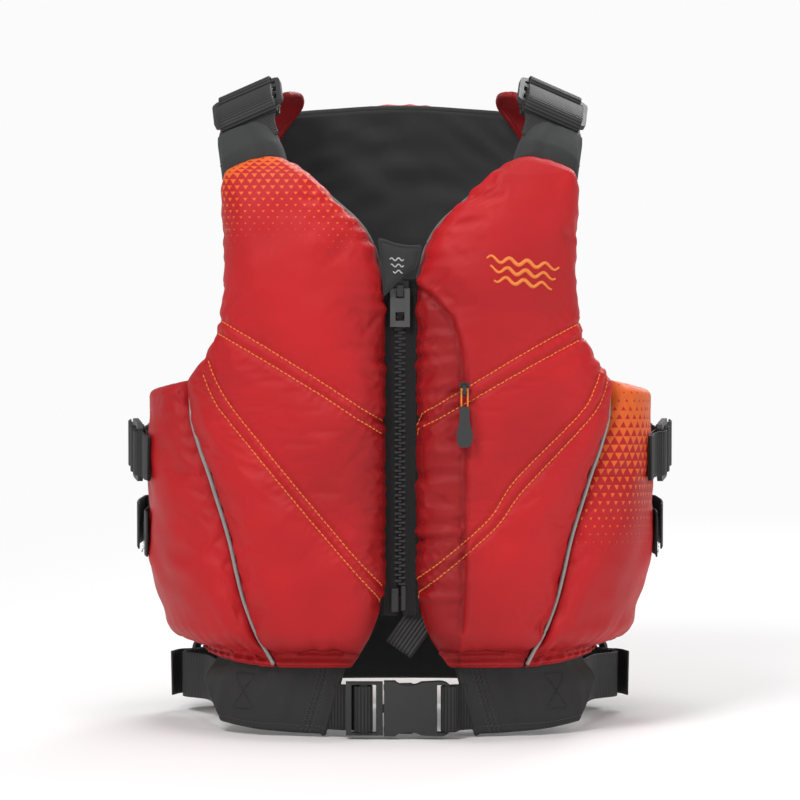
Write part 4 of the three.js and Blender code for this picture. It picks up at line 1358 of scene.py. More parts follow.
def back_piping(sign, side):
    """Piping round the upper outer edge of the back panel."""
    nv, nu = BACK.face.shape[:2]
    rows = slice(int(0.80 * nv), -1)
    face, normal = BACK.face[rows, ::sign], BACK.normal[rows, ::sign]
    widest = np.argmax(sign * face[:, : int(0.3 * nu), 0], axis=1).astype(float)
    widest = np.convolve(np.pad(widest, 10, mode="edge"), np.ones(21) / 21, mode="valid")
    column, row = np.round(widest).astype(int), np.arange(len(widest))
    path = smoothed(face[row, column] + normal[row, column] * 0.7)
    o = tube("back_seam_piping_" + side[0], spline(path[::3], 2.0), 1.6, PIPING, around=12)
    piece(o, "back", "reflective", "back_piping_" + side)


def neck_binding(side, panel):
    """Thin binding along the neck edge of a front."""
    nv = panel.face.shape[0]
    j = np.arange(int(0.72 * nv), nv - 2)
    base = off_body(panel.angle[j, 0], panel.z[j, 0], 0.8)
    path = (base + unit(panel.face[j, 0] - panel.face[j, 1]) * 0.9) * panel.flip
    o = tube("neck_binding_" + side[0], spline(path[::4], 2.0), 1.5, BINDING, around=10)
    piece(o, side + "_front", "reflective")


for side in SIDE:
    seam_piping(side)
for sign, side in SIDES:
    back_piping(sign, side)
for side, panel in FRONT.items():
    neck_binding(side, panel)


# ------------------------------------------------------------------ moulded parts of the frame
def finish(node, mat, width, segments):
    """Gives a loaded part one material and soft edges."""
    o = NODES[node]
    o.data.materials.clear()
    o.data.materials.append(mat)
    for polygon in o.data.polygons:
        polygon.material_index = 0
        polygon.use_smooth = True
    soft = o.modifiers.new("soft_edges", "BEVEL")
    soft.width, soft.segments = width * 0.001, segments
    soft.limit_method, soft.angle_limit = "ANGLE", math.radians(35)
    soft.use_clamp_overlap = True
    soft.harden_normals = False
    corners = o.modifiers.new("corner_normals", "WEIGHTED_NORMAL")
    corners.keep_sharp = True


for _, side in SIDES:
    for lock_name in ("shoulder_lock_", "upper_side_lock_", "back_lock_", "belt_lock_"):
        finish(lock_name + side, ACETAL, width=0.9, segments=3)
for node in ("buckle_socket", "buckle_tongue", "buckle_prong_upper", "buckle_prong_lower"):
    finish(node, ACETAL, width=0.8, segments=3)
finish("zip_slider", ZIP_PLASTIC, width=0.35, segments=2)
finish("zip_pull", PULL_GREY, width=0.35, segments=2)
finish("pocket_slider", ZIP_PLASTIC, width=0.35, segments=2)
finish("pocket_grip", RUBBER, width=1.1, segments=3)
finish("pocket_cord", ORANGE_CORD, width=0.55, segments=3)

# ------------------------------------------------------------------ shoulders
CAP_NET = xz_net([
    [(90, 464), (115, 461), (139.5, 449)],
    [(93, 473), (117, 470), (141.0, 458)],
    [(97, 481), (119.5, 478), (143.5, 467)],
    [(101, 489), (123, 486), (146.0, 476)],
    [(103, 495.5), (125, 492), (147.0, 483)],
])
CAP_THREAD = dict(length=2.2, gap=1.0, radius=0.28)
# paths in a lock's plane: along the strap, off its face
SHOULDER_ROLL = [
    (-6, -8.5), (-1, -7.0), (2.4, -4.4), (3.3, 0.5), (2.0, 6.0), (-3.5, 7.6), (-8.8, 6.2),
    (-10.3, 1.2), (-11.2, -3.0), (-15.5, -5.2), (-24, -5.0), (-31.5, -2.6), (-34.4, 2.6),
    (-32.0, 8.4), (-25, 11.2), (-14, 11.4), (-4, 10.4), (4, 9.3),
]
SHOULDER_TURN = [
    (-13.6, 5.6), (-18.5, 7.4), (-25.2, 7.2), (-28.6, 4.8), (-24.4, 4.0), (-17.0, 4.4),
    (-12.2, 7.8), (-8.0, 8.7), (-3.0, 8.5), (0.5, 7.9),
]
# round a lock's rear bar, and over and back through its front bars
BAR_TURN = [(20.4, -3.0), (17.55, 0.1), (17.55, 4.1), (20.4, 7.0)]
WRAP = [(2.4, -3.0), (3.2, 1.0), (1.6, 5.6), (-3.2, 6.9), (-8.4, 5.8), (-10.2, 1.2)]
SHOULDER_BAR_LOOP = [
    (60, -14.6), (50, -10.8), (40, -7.2), (32, -5.0), (26, -3.4), *BAR_TURN,
    (27, 6.6), (32.4, 3.6), (38, -2.6), (46, -7.2), (56, -10.9),
]


def cap_height(sheet):
    base = np.interp(sheet.v, [0, 0.25, 0.5, 0.75, 1], [21, 22, 17.5, 12, 6.5])
    sides = border(np.minimum(sheet.dist[START], sheet.dist[END]) + 0.3, 13)
    folds = GATHER(sheet.dist[BOTTOM] * 0.6, sheet.dist[START] * 1.2)
    return 2.6 + (base - 2.6) * sides + 0.6 * folds * sides * (sheet.v < 0.97)


def shoulder_cap(sign, side):
    tag, body = side[0], side + "_front"
    cap = Sheet("shoulder_cap_pad_" + tag, CAP_NET, cap_height, 1.2, (34, 26), SHOULDER_KNIT, sign)
    piece(cap.object, body, "charcoal_fabric", "shoulder_cap_" + side)
    paths = [sheet_path(cap, border_side, 3.0, lo=0.3) for border_side in (START, END)]
    sew("cap_stitching_" + tag, BLACK_THREAD, body, "charcoal_fabric", (CAP_THREAD, paths))


def shoulder_webbing(sign, side):
    tag, body, adjuster = side[0], side + "_front", "shoulder_adjuster_" + side
    lock = Lock((123.5, -10, 507.5), (0.06, 0.88, 0.3), (0.9, 0, -0.43), sign)
    # webbing wound through the lock, its free end rolled back over the top
    roll = lock.web("shoulder_web_roll_" + tag, SHOULDER_ROLL, 49.0, 1.8, step=1.2)
    piece(roll, adjuster, "webbing", "shoulder_strap_fold_" + side)
    # an inner turn of the same webbing, seen at its open end
    turn = lock.web("shoulder_web_turn_" + tag, SHOULDER_TURN, 48.0, 1.6)
    piece(turn, adjuster, "webbing")
    # standing part, in two pieces: from the lock to part way, then on to the cap
    bar, leaving = lock.at([(-1, -7.0), (-6, -8.5)])
    on_cap = off_body(angle_at(123.5), 489.5, 7.2) * flip(sign)
    under_cap = off_body(angle_at(119.0), 476.0, 10.0) * flip(sign)
    middle = 0.5 * (leaving + on_cap) + np.array([0, 0, 4.5])
    path = spline([bar, leaving, middle, on_cap, under_cap], 1.5)
    share = np.linspace(0, 1, len(path))[:, None]
    wide = unit(lock.across * (1 - share) + unit(np.array([sign * 0.93, 0.05, -0.34])) * share)
    along = tangents(path)
    wide = square_to(wide, along)
    normals = np.cross(wide, along)
    cut = int(len(path) * 0.42)
    rear, fore = slice(0, cut + 4), slice(cut - 3, None)
    o = ribbon("shoulder_web_back_" + tag, path[rear], wide[rear], normals[rear], 49.0, 1.7,
               WEBBING, nu=12)
    bridge(o)
    under = 1.9 if normals[cut][2] < 0 else -1.9
    lap = normals[fore] * under * np.linspace(1.0, 0.0, len(path) - cut + 3)[:, None]
    o = ribbon("shoulder_web_front_" + tag, path[fore] + lap, wide[fore], normals[fore], 48.5,
               1.7, WEBBING, nu=12)
    bridge(o)
    # loop of webbing that holds the lock's rear bar, sewn to the strap
    piece(lock.web("shoulder_bar_loop_" + tag, SHOULDER_BAR_LOOP, 46.0, 1.6), "back", "webbing")


# centre, width direction, face normal, width
YOKE = [
    ((127, 78, 400), (1, 0.3, 0), (-0.2, 1, 0), 6),
    ((129.5, 83, 420), (1, 0.15, 0), (0.0, 1, 0), 15),
    ((129.5, 86.5, 440), (1, 0.06, 0), (0.06, 1, 0), 27),
    ((127.5, 88.5, 460), (1, 0.02, -0.03), (0.05, 1, 0.08), 38),
    ((121, 86, 482), (1, 0, -0.06), (0.05, 0.9, 0.4), 52),
    ((114.5, 75, 497.5), (1, 0, -0.1), (0.1, 0.6, 0.8), 64),
    ((112.5, 54, 505.0), (1, 0, -0.18), (0.18, 0.2, 1), 63),
    ((113.5, 35, 507.5), (1, 0, -0.25), (0.24, -0.05, 1), 57),
    ((115.5, 20, 507.5), (1, 0, -0.32), (0.3, -0.15, 1), 49),
]
YOKE_THREAD = dict(length=2.4, gap=1.1, radius=0.32)


def yoke(sign, side):
    """Padded strap over the shoulder, with its stitching and folded edge bindings."""
    tag = side[0]
    stations = spline([[*c, *across, *face, width] for c, across, face, width in YOKE], 2.2)
    centres, width = stations[:, 0:3] * flip(sign), stations[:, 9]
    wide, normals = (unit(stations[:, k : k + 3] * flip(sign)) for k in (3, 6))
    ripple = Noise(21 + sign, 12, 40)

    def relief(across, run):
        edge = bell(np.abs(across) - width / 2 + 8, 7)
        ridge = bell(across * sign + 6 - run * 0.12, 6) * bell(run - 62, 26)
        rolling = 0.9 * np.sin(run / 6.5 + across * 0.06 * sign) * edge
        return rolling + 1.3 * ridge + 0.45 * ripple(across, run)

    # the yoke's darker red is painted shade
    o = ribbon("shoulder_yoke_" + tag, centres, wide, normals, width, 5.6, RED_STRAP_SHADED, nu=26,
               bulge=2.4, relief=relief)
    piece(o, "back", "red_nylon", "shoulder_strap_" + side)
    normals = square_to(normals, wide)
    broad = width > 18
    paths = []
    for edge in (-1, 1):
        for inset in (3.4, 6.4):
            points = centres + wide * (edge * (width / 2 - inset))[:, None] + normals * 3.3
            paths.append(resample(points[broad], normals[broad]))
    sew("yoke_stitching_" + tag, RED_THREAD, "back", "red_nylon", (YOKE_THREAD, paths))
    for edge, label in ((-1, "in"), (1, "out")):
        points = centres + wide * (edge * (width / 2 - 0.6))[:, None] + normals * 0.2
        o = tube(f"yoke_binding_{label}_{tag}", spline(points[::3], 2.0), 2.7, RED_SHADE, around=12)
        piece(o, "back", "red_nylon")


def back_neck_binding():
    i = np.arange(2, BACK.face.shape[1] - 2, 3)
    points = off_body(BACK.angle[-1, i], BACK.z[-1, i], 1.2) + np.array([0, 0, 0.4])
    o = tube("neck_binding_back", spline(points, 2.0), 2.6, SHOULDER_KNIT, around=12)
    piece(o, "back", "charcoal_fabric")


for sign, side in SIDES:
    shoulder_cap(sign, side)
    shoulder_webbing(sign, side)
for sign, side in SIDES:
    yoke(sign, side)
back_neck_binding()

# ------------------------------------------------------------------ side adjusters
WEB_WIDTH = 37.5
UPPER_Z = 224
UPPER_BAR_LOOP = [(38, -3.4), (32, -3.2), (26, -3.0), *BAR_TURN, (27, 6.5), (32, 4.4), (38, 0.6)]
UPPER_THREADED = [(-6, -4.6), (-1.0, -4.4), *WRAP, (-11.6, -2.6), (-17, -4.3), (-25, -3.8),
                  (-31, -1.6), (-36, 1.6), (-44, 4.4), (-52, 4.2), (-60, 2.2)]
SIDE_THREADED = [(-6, -4.8), (-1.0, -4.5), *WRAP, (-11.4, -1.8)]
# loose end beyond the lock: x on the left side, y, z
SIDE_TAIL = [(213.5, 78, 158.4), (216.5, 66, 157.6), (217.2, 52, 157.0), (216.0, 38, 156.6)]
SIDE_TACK_THREAD = dict(length=2.2, gap=1.0, radius=0.3)


def side_point(panel, y, z, lift):
    """Point off the outward face of a side panel nearest to y, z."""
    face, normal = panel.face, panel.normal
    dist = np.hypot(face[..., 1] - y, face[..., 2] - z) + np.where(normal[..., 0] > 0.2, 0, 50)
    j, i = np.unravel_index(np.argmin(dist), dist.shape)
    return (face[j, i] + normal[j, i] * lift) * panel.flip


def upper_adjuster(sign, side):
    tag, body, panel = side[0], side + "_front", SIDE[side]
    lock = Lock((214, 10, UPPER_Z), (-0.12, -0.99, 0), (0, 0, 1), sign)
    under = [side_point(panel, y, UPPER_Z, 1.3) for y in (-52, -44, -36)]
    over = [side_point(panel, y, UPPER_Z, 3.4) for y in (-38, -46, -54)]
    path = spline([*under, *lock.at(UPPER_BAR_LOOP), *over], 1.0)
    o = strap("upper_side_anchor_" + tag, path, lock.across, 37.0, 1.6)
    piece(o, body, "webbing")
    o = lock.web("upper_side_threaded_" + tag, UPPER_THREADED, WEB_WIDTH, 1.6)
    piece(o, "upper_adjuster_" + side, "webbing", "upper_side_web_" + side)
    # from the back panel's edge to the lock
    start = off_body(107.5, UPPER_Z, 7.0) * flip(sign)
    bend = off_body(103.0, UPPER_Z, 11.0) * flip(sign)
    ends = lock.at([(-30, -13), (-16, -8.0), (-6, -4.6), (-1, -4.4)])
    path = spline([start, bend, *ends], 1.6)
    o = strap("upper_side_strap_" + tag, path, lock.across, WEB_WIDTH, 1.6)
    bridge(o)


def middle_lock(sign):
    return Lock((184, 103, CINCH_Z), (-0.8, 0.6, 0), (0, 0, -1), sign)


def middle_adjuster(sign, side):
    tag, body, panel = side[0], side + "_front", SIDE[side]
    lock = middle_lock(sign)
    tail = [*lock.at([(-17, -3.6), (-27, -2.4), (-33, 0.4)]), *np.array(SIDE_TAIL) * flip(sign)]
    o = lock.web("side_strap_threaded_" + tag, SIDE_THREADED, WEB_WIDTH, 1.6,
                 world=spline(tail, 1.0))
    piece(o, "back_adjuster_" + side, "webbing", "back_lock_web_" + side)
    sewn = [side_point(panel, y, CINCH_Z, lift) for y, lift in ((-30, 1.3), (-12, 1.4), (8, 1.6))]
    ends = lock.at([(-40, -14), (-22, -9.0), (-6, -4.8), (-1, -4.5)])
    path = spline([*sewn, (sign * 206, 34, CINCH_Z), *ends], 1.8)
    o = strap("side_strap_" + tag, path, lock.across, WEB_WIDTH, 1.6)
    bridge(o)
    # the tack: two level rows and a cross
    rows = [[(y, z) for y in (-28, -20, -12, -5)] for z in (143.5, 174.5)]
    for a, b in (((-28, 144), (-6, 174)), ((-28, 174), (-6, 144))):
        rows.append([(a[0] + (b[0] - a[0]) * q, a[1] + (b[1] - a[1]) * q)
                     for q in np.linspace(0, 1, 8)])
    paths = [spline([side_point(panel, y, z, 2.3) for y, z in row], 1.0) for row in rows]
    sew("side_strap_tack_" + tag, GREY_THREAD, body, "webbing",
        (SIDE_TACK_THREAD, [(path, repeated((sign, 0, 0), len(path))) for path in paths]))


for sign, side in SIDES:
    upper_adjuster(sign, side)
    middle_adjuster(sign, side)

# ------------------------------------------------------------------ cinch strap across the back
CINCH_BAR_LOOP = [(44, -1.8), (36, -3.0), (28, -2.9), *BAR_TURN, (28, 6.6), (36, 3.4), (44, 1.8)]
# (|x|, z) of the tack stitching at each end
CINCH_TACK = [(108, 144), (132, 144), (132, 174), (108, 174), (108, 144), (132, 174), (108, 174),
              (132, 144)]
CINCH_THREAD = dict(length=2.0, gap=0.8, radius=0.34)


def back_point(x, z, lift):
    face, normal = BACK.face, BACK.normal
    dist = np.hypot(face[..., 0] - x, face[..., 2] - z) + np.where(normal[..., 1] > 0.1, 0, 50)
    j, i = np.unravel_index(np.argmin(dist), dist.shape)
    rows = slice(max(0, j - 6), j + 7)
    outward = unit(normal[rows, i].mean(0) * np.array([1, 1, 0]))
    return np.array([x, face[rows, i, 1].mean(), z]) + outward * lift


def cinch_strap():
    flat = np.array([back_point(x, CINCH_Z, 1.6) for x in np.arange(-128, 129, 8.0)])
    kernel = np.array([1, 2, 3, 2, 1]) / 9
    even = np.convolve(np.pad(flat[:, 1], 2, mode="edge"), kernel, mode="valid")
    flat[:, 1] = np.maximum(even, flat[:, 1] - 0.4)
    over = [back_point(x, CINCH_Z, 4.2) for x in (134, 124, 114, 106)]
    left_end = np.concatenate([middle_lock(1).at(CINCH_BAR_LOOP), over])
    right_end = (left_end * flip(-1))[::-1]
    path = spline(np.concatenate([right_end, flat, left_end]), 1.4)
    o = strap("cinch_strap_back", path, (0, 0, 1), WEB_WIDTH, 1.7, nu=12)
    piece(o, "back", "webbing", "back_cinch_strap")
    paths = []
    for sign in (-1, 1):
        normals = repeated(unit(np.array([sign * 0.45, 1, 0.0])), 9)
        for (x0, z0), (x1, z1) in zip(CINCH_TACK[:-1], CINCH_TACK[1:]):
            points = []
            for q in np.linspace(0, 1, 9):
                point = back_point(sign * (x0 + (x1 - x0) * q), CINCH_Z, 5.35)
                points.append((point[0], point[1], z0 + (z1 - z0) * q))
            paths.append(resample(np.array(points), normals))
    sew("cinch_strap_tack", GREY_THREAD, "back", "webbing", (CINCH_THREAD, paths))


cinch_strap()

# ------------------------------------------------------------------ waist flaps and belt
FLAP_NET = xz_net([
    [(61, 2.5), (92, 3.5), (120, 5), (148, 9)],
    [(54, 26), (95, 26), (128, 27), (157, 29)],
    [(47, 50), (97, 50), (134, 51), (165, 52)],
    [(39, 84), (100, 86), (138, 86), (170.5, 84)],
])
# (angle, z)
BACK_WAIST_NET = net([
    [(143.5, 22.5), (162, 22), (180, 22), (198, 22), (216.5, 22.5)],
    [(134, 44), (157, 43), (180, 43), (203, 43), (226, 44)],
    [(124, 66), (152, 66), (180, 66), (208, 66), (236, 66)],
    [(116, 92), (148, 92), (180, 90), (212, 92), (244, 92)],
])
FLAP_HEM_THREAD = dict(length=2.2, gap=1.0, radius=0.26)
ZIGZAG_THREAD = dict(length=1.7, gap=0.5, radius=0.24)
BELT_TACK_THREAD = dict(length=2.0, gap=0.9, radius=0.3)
BELT_THREADED = [(-6, -4.6), (-1.0, -4.4), *WRAP, (-11.6, -2.4), (-17, -4.0), (-26, -3.4),
                 (-32, -0.6), (-38, -1.4), (-46, -6.0)]
BELT_BAR_LOOP = [(34, -2.8), (27, -2.7), *BAR_TURN, (27, 6.4), (34, 3.8)]
# free run of the side webbing: x on the left side, y, z
BELT_RUN = [(135.5, -58, 35.4), (144.5, -36, 35.0), (152.5, -10, 34.6), (160.5, 20, 33.8)]


def flap_high(sheet):
    across, up = sheet.dist[START], sheet.dist[BOTTOM]
    rounding = border(sheet.away + 0.02, 3.2)
    height = -3.8 + 3.4 * rounding
    height = height + 0.55 * rounding * GATHER(up * 0.7 + 10, across * 0.8) * smooth01(
        sheet.away / 8)
    # sewn line that closes the sleeve end, and the hem
    for inset in (15.0, 19.5):
        height = height - 0.9 * bell(across - inset, 1.3) * (across < 40)
    height = height - 0.7 * bell(up - 6.5, 1.3)
    # the sleeve end is pressed flat where the webbing goes in
    return height - 2.2 * smooth01((50 - across) / 18)


def flap_low(sheet):
    return -3.8 - 2.6 * border(sheet.away + 0.02, 3.2)


def waist_flap(sign, side):
    tag = side[0]
    flap = Sheet("waist_flap_" + tag, FLAP_NET, flap_high, flap_low, (78, 34), WAIST_KNIT, sign)
    piece(flap.object, "back", "charcoal_fabric", "belt_wing_" + side)
    zigzags = [zigzag(sheet_path(flap, START, inset, lo=0.03, hi=0.97), 0.9)
               for inset in (13.4, 17.2, 20.8)]
    sew("waist_flap_stitching_" + tag, GREY_THREAD, "back", "charcoal_fabric",
        (FLAP_HEM_THREAD, [sheet_path(flap, BOTTOM, 6.5)]), (ZIGZAG_THREAD, zigzags))
    # end tube of the sleeve
    points, normals = sheet_path(flap, START, 2.2, lo=0.05, hi=0.95)
    o = tube("waist_flap_end_" + tag, points - normals * 1.4, 2.5, WAIST_KNIT, around=12)
    piece(o, "back", "charcoal_fabric")


def low_adjuster(sign, side):
    tag, mirror = side[0], flip(sign)
    lock = Lock((153, 92, 32.4), (-0.86, 0.51, 0.03), (0.03, 0, -1), sign)
    # side webbing from the flap to the lock
    under = [off_body(angle_at(x), 36.0, -9.6) * mirror for x in (108, 115, 122, 129)]
    ends = lock.at([(-40, -15), (-24, -8.4), (-6, -4.6)])
    path = spline([*under, *np.array(BELT_RUN) * mirror, *ends], 1.5)
    o = strap("belt_side_webbing_" + tag, path, (0, 0, 1), WEB_WIDTH, 1.6, square=True,
              facing=-sign)
    piece(o, "back", "webbing", "belt_side_strap_" + side)
    # a box's two level rows and its cross, through the flap
    xs = np.linspace(119, 137, 12)
    normals = np.array([torso_normal(angle_at(x), 36.0) * mirror for x in xs])
    paths = []
    for z0, z1 in ((21.5, 21.5), (50.5, 50.5), (21.5, 50.5), (50.5, 21.5)):
        points = [off_body(angle_at(x), z0 + (z1 - z0) * q, -0.15) * mirror
                  for x, q in zip(xs, np.linspace(0, 1, 12))]
        paths.append(resample(np.array(points), normals))
    sew("belt_webbing_tack_" + tag, BLACK_THREAD, "back", "webbing", (BELT_TACK_THREAD, paths))
    o = lock.web("belt_threaded_" + tag, BELT_THREADED, WEB_WIDTH, 1.6)
    piece(o, "belt_adjuster_" + side, "webbing", "belt_lock_web_" + side)
    # loop from the back waist panel round the lock's bar: angle, height off the body
    inner = [off_body(a, 33.0, h) * mirror for a, h in ((147, 0.0), (143.5, 4.0), (141, 8.4))]
    outer = [off_body(a, 33.0, h) * mirror for a, h in ((140.5, 11.4), (143, 7.0), (147, 2.0))]
    path = spline([*inner, *lock.at(BELT_BAR_LOOP), *outer], 1.2)
    o = strap("belt_bar_loop_" + tag, path, (0, 0, 1), 36.5, 1.6, square=True)
    piece(o, "back", "webbing")


def flare(sheet):
    """The lower corners of the back waist flap stand away from the body."""
    ends = np.minimum(sheet.dist[START], sheet.dist[END])
    return 13.0 * bell(ends, 20.0) * smooth01((62 - sheet.z) / 26)


def back_waist_high(sheet):
    across, _, up, down = sheet.dist
    rounding = border(sheet.away + 0.02, 3.0)
    top = smooth01((down - 14) / 14)
    folds = GATHER(up * 0.6, across * 0.5) * smooth01(sheet.away / 8)
    height = -4.2 + flare(sheet) + rounding * top * (3.0 + 0.8 * folds)
    height = height - 0.8 * bell(up - 5.5, 1.3) * top
    for border_side in (START, END):
        for inset in (12.0, 15.5):
            height = height - 0.9 * bell(sheet.dist[border_side] - inset, 1.2) * top
    return height


def back_waist_low(sheet):
    return -4.2 + flare(sheet) - 3.2 * border(sheet.away + 0.02, 3.0)


def back_waist_flap():
    flap = Sheet("back_waist_flap", BACK_WAIST_NET, back_waist_high, back_waist_low, (96, 34),
                 WAIST_KNIT)
    piece(flap.object, "back", "charcoal_fabric", "back_waist_panel")
    zigzags = [zigzag(sheet_path(flap, border_side, inset, lo=0.04, hi=0.8), 0.8)
               for border_side in (START, END) for inset in (10.6, 13.8, 17.0)]
    sew("back_waist_stitching", GREY_THREAD, "back", "charcoal_fabric",
        (FLAP_HEM_THREAD, [sheet_path(flap, BOTTOM, 5.5)]), (ZIGZAG_THREAD, zigzags))


for sign, side in SIDES:
    waist_flap(sign, side)
    low_adjuster(sign, side)
back_waist_flap()

# webbing through the buckle: x, and distance behind the buckle's middle
BUCKLE = Lock((0, -106, 25), (1, 0, 0), (0, 0, 1))
TONGUE_WEB = [
    (-68, 11.6), (-62, 10.3), (-57, 9.1), (-53, 7.8), (-49, 6.4), (-45, 5.2), (-39.6, 4.4),
    (-36.9, 2.2), (-36.7, -2.6), (-35.0, -6.0), (-31, -7.2), (-27, -6.6), (-23.6, -4.4),
    (-22.9, -0.4), (-23.4, 3.0), (-27, 5.3), (-34, 5.1), (-38.5, 6.1), (-44.5, 7.0), (-49, 8.1),
    (-53, 9.4), (-57, 10.5), (-62, 11.6), (-68, 13.0),
]
SOCKET_WEB = [
    (68, 12.8), (60, 11.5), (54, 10.2), (48, 8.4), (43, 6.9), (36.5, 4.6), (34.0, 0.5),
    (34.4, -4.4), (38, -7.2), (43, -7.4), (46.2, -4.0), (47.4, 1.0), (49.5, 5.0), (53, 7.4),
    (57, 9.0), (62, 10.2), (68, 11.2),
]
o = BUCKLE.web("belt_web_r", TONGUE_WEB, WEB_WIDTH, 1.5, step=0.8)
piece(o, "tongue", "webbing", "belt_web_tongue")
o = BUCKLE.web("belt_web_l", SOCKET_WEB, WEB_WIDTH, 1.5, step=0.8)
piece(o, "back", "webbing", "belt_web_socket")

# ------------------------------------------------------------------ main zip
ZIP_Y = -103.0
TEETH_Y = ZIP_Y - 2.5
TOOTH_PITCH = 5.0
TOOTH_HALF_DEPTH = 1.7
TOOTH_TIP, TOOTH_ROOT = -1.35, 4.6
# outline of a tooth: x, z
TOOTH = np.array([
    (TOOTH_ROOT, -1.15), (2.2, -1.15), (0.9, -0.85), (-0.3, -1.12), (TOOTH_TIP, -0.6),
    (TOOTH_TIP, 0.6), (-0.3, 1.12), (0.9, 0.85), (2.2, 1.15), (TOOTH_ROOT, 1.15),
])
# blocks at the foot of each half: x, y and z ranges
ZIP_FOOT = {
    1: (0.6, 5.2, TEETH_Y - 1.9, TEETH_Y + 1.9, 105, 125),
    -1: (-7.5, -1.0, TEETH_Y - 2.6, TEETH_Y + 2.2, 104, 123),
}
ZIP_TAPE_THREAD = dict(length=2.3, gap=1.0, radius=0.28)


def extruded(rings):
    return np.concatenate(rings), capped_faces(len(rings[0]), len(rings))


def block(x0, x1, y0, y1, z0, z1):
    """A moulded block with chamfered edges: eight-sided rings along z."""
    c = 0.7

    def ring(z, k):
        a, b, p, q = x0 + k, x1 - k, y0 + k, y1 - k
        return np.array([(a + c, p, z), (b - c, p, z), (b, p + c, z), (b, q - c, z),
                         (b - c, q, z), (a + c, q, z), (a, q - c, z), (a, p + c, z)])

    return extruded([ring(z0, c * 0.6), ring(z0 + c * 0.6, 0), ring(z1 - c * 0.6, 0),
                     ring(z1, c * 0.6)])


def tooth(sign, z):
    centre = np.array([(TOOTH_ROOT + TOOTH_TIP) / 2, 0.0])
    depth = TOOTH_HALF_DEPTH
    rings = []
    for y, size in ((-depth, 0.78), (-depth + 0.45, 1.0), (depth - 0.45, 1.0), (depth, 0.78)):
        q = (TOOTH - centre) * np.array([1 - (1 - size) * 0.25, size]) + centre
        rings.append(np.stack([sign * q[:, 0], np.full(len(q), TEETH_Y + y), z + q[:, 1]], -1))
    points, faces = extruded(rings)
    return points, [f[::sign] for f in faces]


def zip_half(sign, side):
    tag, body = side[0], side + "_front"
    first = 127 + (0.0 if sign > 0 else TOOTH_PITCH / 2)
    parts = [tooth(sign, z) for z in np.arange(first, 372, TOOTH_PITCH)]
    parts.append(block(*ZIP_FOOT[sign]))
    faces, count = [], 0
    for points, part_faces in parts:
        faces += [[i + count for i in f] for f in part_faces]
        count += len(points)
    co = np.concatenate([points for points, _ in parts])
    o = mesh_object("zip_teeth_" + tag, co, faces, ZIP_PLASTIC, smooth=False)
    piece(o, body, "zip", "zip_tape_" + side)
    zs = np.arange(101, 377, 2.0)
    forward = repeated((0, -1, 0), len(zs))
    centres = np.stack([np.full(len(zs), sign * 9.0), TEETH_Y + 0.15 * np.sin(zs / 9.0), zs], -1)
    o = ribbon("zip_woven_tape_" + tag, centres, repeated((1, 0, 0), len(zs)), forward, 13.4, 1.0,
               ZIP_TAPE, nu=22, relief=lambda across, run: 0.45 * bell(np.abs(across) - 3.2, 0.9))
    piece(o, body, "zip")
    seam = [np.full(len(zs), sign * 12.6), np.full(len(zs), TEETH_Y - 0.75), zs]
    sew("zip_tape_stitching_" + tag, BLACK_THREAD, body, "zip",
        (ZIP_TAPE_THREAD, [(np.stack(seam, -1), forward)]))


for sign, side in SIDES:
    zip_half(sign, side)

# the flap over the top of the zip: outline (x, z)
GARAGE = [
    (-13.6, 361.5), (-9.8, 365.0), (-3, 372.5), (5.5, 381), (13.4, 385.5), (16.2, 392),
    (17.5, 403), (8, 403.5), (-4, 405.5), (-17.0, 409), (-16.6, 398), (-15, 380),
]
# size of the outline, y from the zip
GARAGE_RINGS = (
    (0.96, -13.0), (1.0, -13.5), (1.0, -14.6), (0.965, -15.2), (0.9, -15.35), (0.86, -15.0),
    (0.82, -15.5), (0.6, -16.0), (0.35, -16.3), (0.1, -16.4),
)
GARAGE_THREAD = dict(length=1.8, gap=0.8, radius=0.24)


def zip_garage():
    rim = spline(GARAGE + GARAGE[:1], 2.2)[:-1]
    centre = rim.mean(0)

    def ring(outline, size, y):
        q = centre + (outline - centre) * size
        return np.stack([q[:, 0], np.full(len(q), ZIP_Y + y), q[:, 1]], -1)

    co, faces = extruded([ring(rim, size, y) for size, y in GARAGE_RINGS])
    o = mesh_object("zip_garage", co, faces, SHOULDER_KNIT, uv=co[:, [0, 2]])
    piece(o, "right_front", "charcoal_fabric", "zip_top_flap")
    seam = ring(np.concatenate([rim, rim[:1]]), 0.86, -15.1)
    sew("zip_garage_stitching", BLACK_THREAD, "right_front", "charcoal_fabric",
        (GARAGE_THREAD, [resample(seam, repeated((0, -1, 0), len(seam)))]))


def garage_marks():
    """Three small waves on the flap."""
    mat = thread("pale_mark", srgb(176, 178, 178))
    for k, (z, half) in enumerate(((392.5, 5.6), (387.5, 5.2), (382.5, 3.8))):
        x = np.linspace(-half, half, 26) - 2.6 + k * 0.4
        y = ZIP_Y - 16.35 + 0.1 * k + 0.03 * np.abs(x + 2)
        points = np.stack([x, y, z + 1.1 * np.sin((x + 2.6) * 2 * np.pi / 5.6)], -1)
        o = tube("zip_garage_mark_%d" % (k + 1), points, 0.55, mat, around=8)
        piece(o, "right_front", "charcoal_fabric")


zip_garage()
garage_marks()

# ------------------------------------------------------------------ details on the left front
POCKET_ZIP = [(24.5, 366), (33, 356), (42, 344), (48, 326), (51.5, 306), (52, 285), (52, 250),
              (52, 200), (52, 150), (51, 112)]
COIL_THREAD = dict(length=1.0, gap=0.35, radius=0.42, lift=0.35, jitter=0.02)


